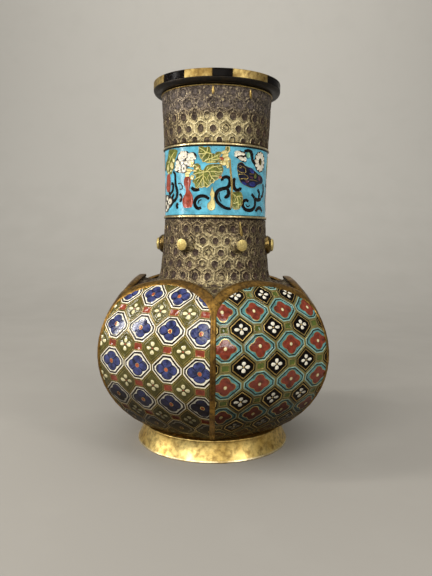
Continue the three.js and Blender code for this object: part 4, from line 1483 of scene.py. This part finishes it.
# where the ray through a point of the enlarged photo meets the neck: arc from the front, and height
def neckSpot(u, v):
    x = (ornament["firstPixel"][0] + u / ornament["enlarged"] - view["imageWidth"] / 2) / view["focus"]
    y = (view["imageHeight"] / 2 - ornament["firstPixel"][1] - v / ornament["enlarged"]) / view["focus"]
    roll, down = math.radians(view["roll"]), math.radians(view["down"])
    aside = x * math.cos(roll) - y * math.sin(roll)
    above = x * math.sin(roll) + y * math.cos(roll)
    ahead = math.cos(down) + above * math.sin(down)
    startX, startY, startZ = (place / mm for place in view["spot"])
    flat = aside ** 2 + ahead ** 2
    toward = startX * aside + startY * ahead
    radius = ornament["radius"]
    for step in range(12):  # the neck's radius follows the height that is met
        gap = toward ** 2 - flat * (startX ** 2 + startY ** 2 - radius ** 2)
        length = (-toward - math.sqrt(max(0.0, gap))) / flat
        height = startZ + length * (above * math.cos(down) - math.sin(down))
        radius = neckRadius(height)
    arc = math.atan2(startX + length * aside, -startY - length * ahead) * ornament["radius"]
    low, high = ornament["reach"]
    return arc, min(high, max(low, height))


# points of the enlarged photo as arc and height, to a tenth of a millimetre
def seenLine(points):
    return [(round(arc, 1), round(height, 1)) for arc, height in (neckSpot(*point) for point in points)]


# an oval of the enlarged photo: its middle on the neck, half its width and height, its turn and its look
def seenOval(u, v, halfU, halfV, turn=0, look=None):
    arc, height = neckSpot(u, v)
    perMm = ornament["enlarged"] * ornament["pixelsPerMm"]
    facing = max(ornament["leastFacing"], math.cos(arc / ornament["radius"]))
    halfX, halfY = round(halfU / perMm / facing, 2), round(halfV / perMm, 2)
    oval = ((round(arc, 1), round(height, 1)), halfX, halfY, turn)
    return oval + (look,) if look else oval


# points of a smooth line through the given ones
def smoothed(points, closed, steps=3):
    count = len(points)
    spots = []
    for place in range(count if closed else count - 1):
        if closed:
            near = [Vector(points[(place + shift) % count]) for shift in (-1, 0, 1, 2)]
        else:
            near = [Vector(points[min(max(place + shift, 0), count - 1)]) for shift in (-1, 0, 1, 2)]
        for step in range(steps):
            t = step / steps
            curve = (near[2] - near[0]) * t + (2 * near[0] - 5 * near[1] + 4 * near[2] - near[3]) * t ** 2
            curve += (3 * near[1] - near[0] - 3 * near[2] + near[3]) * t ** 3
            spots.append(near[1] + curve / 2)
    return spots if closed else spots + [Vector(points[-1])]


# a raised cell of enamel with a wire round it
def addPad(body, outline, looks, look, edge, base=0.0, wireWidth=None):
    face = cornerFace(body, outline, looks.index(look))
    bmesh.ops.translate(body, vec=(0, 0, ornament["sunk"] + base), verts=face.verts)
    slope = ornament["slope"]
    width = wireWidth or ornament["wire"]
    rings = [(slope, ornament["rise"], edge), (width, 0.0, edge), (slope, -ornament["dip"], look)]
    insetRings(body, face, rings, looks)


def addShape(body, shape, looks, look, edge, base=0.0):
    addPad(body, [tuple(spot) for spot in smoothed(shape, True)], looks, look, edge, base)


def addOval(body, centre, halfX, halfY, turnDegrees, looks, look, edge, base=0.0):
    turn = math.radians(turnDegrees)
    corners = ornament["ovalCorners"]
    outline = []
    for x, y in arcPoints((0, 0), halfX, halfY, 0, 360 - 360 / corners, corners - 1):
        outline.append((centre[0] + x * math.cos(turn) - y * math.sin(turn),
                        centre[1] + x * math.sin(turn) + y * math.cos(turn)))
    addPad(body, outline, looks, look, edge, base, ornament["ovalWire"])


ribbon = {
    "across": (-1.0, -0.9, -0.62, 0.62, 0.9, 1.0), "hollow": 0.03,
    "least": 0.5, "span": (0.08, 0.84), "power": 0.6,
}


# a ribbon along a line, thinner towards its ends, with an edge of its own
def addRibbon(body, points, half, looks, look, edge, base=0.0):
    line = smoothed(points, False, ornament["lineSteps"])
    rise, field = ornament["rise"], ornament["rise"] - ribbon["hollow"]
    lifts = (0.0, rise, field, field, rise, 0.0)
    start, length = ribbon["span"]
    count = len(line) - 1
    columns = len(lifts) - 1
    verts = bmesh.ops.create_grid(body, x_segments=count, y_segments=columns, size=0.5)["verts"]
    for vert in verts:
        step = round((vert.co.x + 0.5) * count)
        column = round((vert.co.y + 0.5) * columns)
        ahead = line[min(step + 1, count)] - line[max(step - 1, 0)]
        side = Vector((-ahead.y, ahead.x)).normalized()
        swell = math.sin(math.pi * (start + length * step / count)) ** ribbon["power"]
        width = half * (ribbon["least"] + (1 - ribbon["least"]) * swell)
        spot = line[step] + side * width * ribbon["across"][column]
        vert.co = (spot.x, spot.y, ornament["sunk"] + base + lifts[column])
    for face in {face for vert in verts for face in vert.link_faces}:
        highest = max(vert.co.z for vert in face.verts)
        level = all(vert.co.z == highest for vert in face.verts)
        face.material_index = looks.index(look if level else edge)


def layOnBand(body, name, looks):
    bmesh.ops.triangulate(body, faces=[face for face in body.faces if len(face.verts) > 4])
    cut(body, (0, ornament["edge"][0], 0), (0, -1, 0), True)
    cut(body, (0, ornament["edge"][1], 0), (0, 1, 0), True)
    left = min(vert.co.x for vert in body.verts)
    right = max(vert.co.x for vert in body.verts)
    for number in range(1, math.ceil((right - left) / ornament["slice"])):
        cut(body, (left + number * ornament["slice"], 0, 0), (1, 0, 0), False)
    for vert in body.verts:
        vert.co = onTurn(vert.co.x / ornament["radius"], neckRadius(vert.co.y) + vert.co.z, vert.co.y)
    back = bmesh.ops.duplicate(body, geom=body.verts[:] + body.edges[:] + body.faces[:])
    backVerts = [part for part in back["geom"] if isinstance(part, bmesh.types.BMVert)]
    bmesh.ops.rotate(body, cent=(0, 0, 0), matrix=Matrix.Rotation(math.pi, 3, "Z"), verts=backVerts)
    thicken(settle(body, name, looks, (), ornament["sharp"]), ornament["depth"])


def makeLeaves():
    looks = leaves["looks"]
    body = bmesh.new()
    for shape in [seenLine(shape) for shape in leaves["shapes"]] + list(leaves["sideShapes"]):
        addShape(body, shape, looks, "leafGreen", "wire")
    for line in [seenLine(line) for line in leaves["veins"]] + list(leaves["sideVeins"]):
        addRibbon(body, line, leaves["veinWidth"], looks, "leafVein", "leafVein", leaves["veinLevel"])
    for line in leaves["fine"]:
        addRibbon(body, line, leaves["fineWidth"], looks, "leafVein", "leafVein", leaves["fineLevel"])
    layOnBand(body, "bandLeaves", looks)


def makeFruit():
    looks = fruit["looks"]
    body = bmesh.new()
    for look, edge, shapes in (("gourdRed", "orange", fruit["red"]), ("gourdCream", "wire", fruit["cream"])):
        for shape in shapes:
            addShape(body, seenLine(shape), looks, look, edge)
    bits = [("gourdCream", bit) for bit in fruit["creamBits"]]
    bits += [("orange", bit) for bit in fruit["orangeBits"]]
    growth = fruit["bitGrowth"]
    for number, (look, bit) in enumerate(bits):
        centre, halfX, halfY, turn = seenOval(*bit)
        level = fruit["bitLevel"] + fruit["bitStep"] * (number % fruit["bitSteps"])
        addOval(body, centre, halfX * growth, halfY * growth, turn, looks, look, "wire", level)
    layOnBand(body, "bandFruit", looks)


def makeBlossoms():
    looks = blossoms["looks"]
    body = bmesh.new()
    for shape in blossoms["grounds"]:
        addShape(body, seenLine(shape), looks, "dark", "dark", blossoms["groundLevel"])
    petals = [seenOval(*petal) for petal in blossoms["petals"]] + list(blossoms["addedPetals"])
    petals += [seenOval(*petal) for petal in blossoms["smallBlossoms"]]
    growX, growY = blossoms["petalGrowth"]
    for number, (centre, halfX, halfY, turn) in enumerate(petals):
        level = blossoms["petalLevel"] + blossoms["petalStep"] * (number % blossoms["petalSteps"])
        addOval(body, centre, halfX * growX, halfY * growY, turn, looks, "white", "white", level)
    centre, halfX, halfY, turn = seenOval(*blossoms["daisy"])
    addOval(body, centre, halfX, halfY, turn, looks, "dark", "dark", blossoms["groundLevel"])
    ringX, ringY = blossoms["daisyRing"]
    for number in range(blossoms["daisyPetals"]):
        turn = 2 * math.pi * number / blossoms["daisyPetals"]
        away = (halfX * ringX * math.cos(turn), halfY * ringY * math.sin(turn))
        spot = (centre[0] + away[0], centre[1] + away[1])
        lean = math.degrees(math.atan2(away[1], away[0])) - 90
        addOval(body, spot, *blossoms["daisyPetal"], lean, looks, "white", "white", blossoms["daisyLevel"])
    hearts = [blossoms["daisyHeart"]] + [seenOval(*heart) for heart in blossoms["hearts"]]
    for centre, halfX, halfY, turn, look in hearts:
        addOval(body, centre, halfX, halfY, turn, looks, look, "dark", blossoms["heartLevel"])
    layOnBand(body, "bandBlossoms", looks)


def makeBird():
    looks = bird["looks"]
    body = bmesh.new()
    addShape(body, seenLine(bird["body"]), looks, "birdBlue", "wire")
    for patch in bird["patches"]:
        centre, halfX, halfY, turn, look = seenOval(*patch)
        addOval(body, centre, halfX, halfY, turn, looks, look, look, bird["patchLevel"])
    centre, halfX, halfY, turn, look = seenOval(*bird["eye"])
    addOval(body, centre, halfX, halfY, turn, looks, look, "wire", bird["eyeLevel"])
    for line in bird["lines"]:
        addRibbon(body, seenLine(line), bird["lineWidth"], looks, "wire", "wire", bird["lineLevel"])
    layOnBand(body, "bandBird", looks)


def makeScrolls():
    looks = scrolls["looks"]
    body = bmesh.new()
    for line in [seenLine(line) for line in scrolls["lines"]] + list(scrolls["sideLines"]):
        addRibbon(body, line, scrolls["width"], looks, "scroll", "scroll")
    for line in scrolls["thin"]:
        addRibbon(body, seenLine(line), scrolls["thinWidth"], looks, "scroll", "scroll")
    stem = seenLine(scrolls["stem"])
    addRibbon(body, stem, scrolls["stemWidth"], looks, "wire", "wire", scrolls["stemLevel"])
    layOnBand(body, "bandScrolls", looks)


makeLeaves()
makeFruit()
makeBlossoms()
makeBird()
makeScrolls()


# rim lip with black blocks let into its face

rim = {
    "height": 8.0, "radius": 43.8, "round": 2.9, "topRound": 0.6, "bore": 35.0, "seat": 37.0,
    "seatHeight": 3.3,
    "steps": 360, "blockDepth": 1.2, "gap": 0.12, "lift": 0.02, "flat": 3.5, "mouthRound": 1.2, "near": 0.05,
    "pocketGap": (0.01, 0.1), "chamfer": (0.2, 0.25), "leastSteps": 6, "edgeRound": 0.15,
    "blocks": ((-108, -80), (-52, -28), (-4, 13), (48, 94), (120, 146), (170, 194), (216, 232)),
}


def makeRim():
    top = rimLevel + rim["height"]
    radius = rim["radius"]
    faceLow, faceHigh = rimLevel + rim["round"], top - rim["topRound"]
    under, mouth = rimLevel + rim["lift"], rim["mouthRound"]
    outline = [(rim["seat"], under), (radius - rim["round"], under)]
    lowRound = rim["round"]
    outline += arcPoints((radius - lowRound, faceLow), lowRound, lowRound - rim["lift"], -80, -8, 8)
    outline += [(radius, faceLow), (radius, faceHigh)]
    outline += arcPoints((radius - rim["topRound"], faceHigh), rim["topRound"], rim["topRound"], 15, 90, 4)
    outline += [(radius - rim["flat"], top), (rim["bore"] + mouth, top)]
    outline += arcPoints((rim["bore"] + mouth, top - mouth), mouth, mouth, 105, 180, 4)
    outline += [(rim["bore"], rimLevel + rim["seatHeight"]), (rim["seat"], rimLevel + rim["seatHeight"])]
    body = turned(outline, rim["steps"])
    pocket = []
    for face in body.faces:
        centre = face.calc_center_median()
        reach = math.hypot(centre.x, centre.y)
        azimuth = math.degrees(math.atan2(centre.x, -centre.y))
        face.material_index = 1 if centre.z < faceLow and reach > rim["seat"] else 0
        inBlock = any((azimuth - start) % 360 < end - start for start, end in rim["blocks"])
        if inBlock and faceLow < centre.z < faceHigh and reach > radius - rim["near"]:
            pocket.append(face)
        if inBlock and centre.z > faceHigh and reach > radius - rim["topRound"]:
            face.material_index = 2
    grown = bmesh.ops.extrude_face_region(body, geom=pocket)
    for vert in [part for part in grown["geom"] if isinstance(part, bmesh.types.BMVert)]:
        reach = math.hypot(vert.co.x, vert.co.y)
        vert.co.x *= (reach - rim["blockDepth"]) / reach
        vert.co.y *= (reach - rim["blockDepth"]) / reach
    spare = [face for face in pocket if face.is_valid]
    bmesh.ops.delete(body, geom=spare, context="FACES")
    above, behind = rim["pocketGap"]
    for face in body.faces:  # brass walls and floors in the pockets
        centre = face.calc_center_median()
        depth = radius - math.hypot(centre.x, centre.y)
        if faceLow - above < centre.z < faceHigh + above and behind < depth < rim["blockDepth"] + behind:
            face.material_index = 0
    settle(body, "rimLip", ["rimBrass", "rimShade", "black"], ["rim_lip"])
    gapTurn = math.degrees(rim["gap"] / radius)
    inner, low, high = radius - rim["blockDepth"] + rim["lift"], faceLow + rim["gap"], faceHigh - rim["gap"]
    cutIn, cutUp = rim["chamfer"]
    section = ((inner, low), (radius - cutIn, low), (radius, low + cutUp), (radius, high - cutUp),
               (radius - cutIn, high), (inner, high))
    for number, (start, end) in enumerate(rim["blocks"]):
        first, last = math.radians(start + gapTurn), math.radians(end - gapTurn)
        block = bmesh.new()
        ring = [block.verts.new(onTurn(first, reach, height)) for reach, height in section]
        face = block.faces.new(ring)
        steps = max(rim["leastSteps"], round((end - start) / 2))
        spinRound(block, [face] + list(face.edges) + ring, last - first, steps, False)
        bmesh.ops.recalc_face_normals(block, faces=block.faces)
        piece = settle(block, "rimBlock" + str(number + 1), ["black"],
                       ["rim_enamel_" + str(number + 1)])
        roundEdges(piece, rim["edgeRound"])


makeRim()


# studs on the lower neck

stud = {
    "level": 140.0, "seat": 1.2, "seatLift": 1.0, "steps": 36,
    "places": ((25.5, "trumpet"), (84, "cone"), (145, "trumpet"), (206, "trumpet"), (267, "cone"),
               (328.5, "trumpet")),
    "trumpet": ((6.3, 0.3), (6.1, 0.5), (5.5, 0.62), (4.9, 0.95), (4.4, 1.6), (4.1, 2.6), (4.0, 3.8),
                (3.98, 4.5)),
    "cone": ((6.6, 0.3), (6.5, 0.9), (6.15, 1.6), (5.6, 2.3), (5.0, 2.85), (4.6, 3.15), (4.45, 3.3)),
    "domes": {"trumpet": ((3.72, 4.84), (3.3, 4.96), (2.6, 5.06), (1.6, 5.15), (0.8, 5.19), (0.0, 5.2)),
              "cone": ((4.4, 3.55), (4.3, 4.1), (4.05, 4.5), (3.5, 4.82), (2.6, 5.03), (1.4, 5.16),
                       (0.0, 5.2))},
    "faceLevel": {"trumpet": 4.75, "cone": 3.4},
    "flanks": {"trumpet": "chasedGround", "cone": "studSide"},
}


def makeStuds():
    for number, (degrees, kind) in enumerate(stud["places"]):
        azimuth = math.radians(degrees)
        outline = [(0.0, -stud["seat"]), (stud[kind][0][0], -stud["seat"])]
        outline += stud[kind] + stud["domes"][kind]
        body = bmesh.new()
        ring = [body.verts.new((reach, 0, rise)) for reach, rise in outline]
        chain = [body.edges.new(pair) for pair in zip(ring, ring[1:])]
        spinRound(body, ring + chain, 2 * math.pi, stud["steps"], True)
        bmesh.ops.remove_doubles(body, verts=body.verts, dist=merge)
        bmesh.ops.recalc_face_normals(body, faces=body.faces)
        for face in body.faces:
            face.material_index = 0 if face.calc_center_median().z > stud["faceLevel"][kind] else 1
        seat = neckRadius(stud["level"])
        for vert in body.verts:
            sag = seat - math.sqrt(seat * seat - vert.co.x * vert.co.x)
            if vert.co.z < 0:
                vert.co.z -= sag - stud["seatLift"]
        place = Matrix.Rotation(azimuth, 4, "Z") @ Matrix.Translation((0, -seat, stud["level"]))
        bmesh.ops.transform(body, matrix=place @ Matrix.Rotation(math.pi / 2, 4, "X"), verts=body.verts)
        settle(body, "stud" + str(number + 1), ["studFace", stud["flanks"][kind]],
               ["neck_stud_" + str(number + 1)])


makeStuds()


# foot ring; the base plate keeps its solid

foot = {
    "radius": 54.0, "land": 6.0, "edge": 0.8, "height": 14.0, "groove": (49.4, 1.7), "bead": 50.4,
    "flare": 1.4,
    "wall": 4.5, "plate": 43.0, "ledge": 3.0, "plateThick": 3.0, "steps": 180, "flareSteps": 16,
    "beadRound": 0.96,
    "gap": 0.02, "plateGap": 0.3, "brightHeight": 1.6, "brightWidth": 0.3, "grooveHalf": 0.3,
}


def makeFoot():
    grooveRadius, drop = foot["groove"]
    grooveLevel = foot["height"] - drop
    bore = foot["plate"] - foot["ledge"]
    edge, rounding = foot["edge"], foot["radius"] - foot["edge"]
    outline = [(rounding - foot["land"], 0.0), (rounding, 0.0)]
    outline += arcPoints((rounding, edge), edge, edge, -60, 0, 3)
    for step in range(1, foot["flareSteps"] + 1):
        share = step / foot["flareSteps"]
        radius = grooveRadius + (foot["radius"] - grooveRadius) * (1 - share) ** foot["flare"]
        outline.append((radius, edge + share * (grooveLevel - edge)))
    bead = (foot["bead"] - grooveRadius, drop / 2 * foot["beadRound"])
    outline += arcPoints((grooveRadius, grooveLevel + drop / 2), *bead, -75, 75, 6)
    top, seat = foot["height"] - foot["gap"], foot["plate"] + foot["plateGap"]
    ledge = foot["height"] - foot["plateThick"]
    outline += [(grooveRadius, top), (seat, top), (seat, ledge - foot["gap"]), (bore, ledge - foot["gap"]),
                (bore, ledge - foot["wall"])]
    body = turned(outline, foot["steps"])
    for face in body.faces:
        centre = face.calc_center_median()
        reach = math.hypot(centre.x, centre.y)
        if centre.z < edge * foot["brightHeight"] and reach > rounding - foot["brightWidth"]:
            face.material_index = 2
        # painted shade: the groove near the top of the foot is coloured dark
        elif abs(centre.z - grooveLevel) < foot["grooveHalf"]:
            face.material_index = 1
    settle(body, "footRing", ["footBrass", "footGrooveShade", "footEdge"], ["foot_ring"])
    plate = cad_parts["base_plate"]
    plate.data.materials.clear()
    plate.data.materials.append(finishes["darkBronze"])


makeFoot()
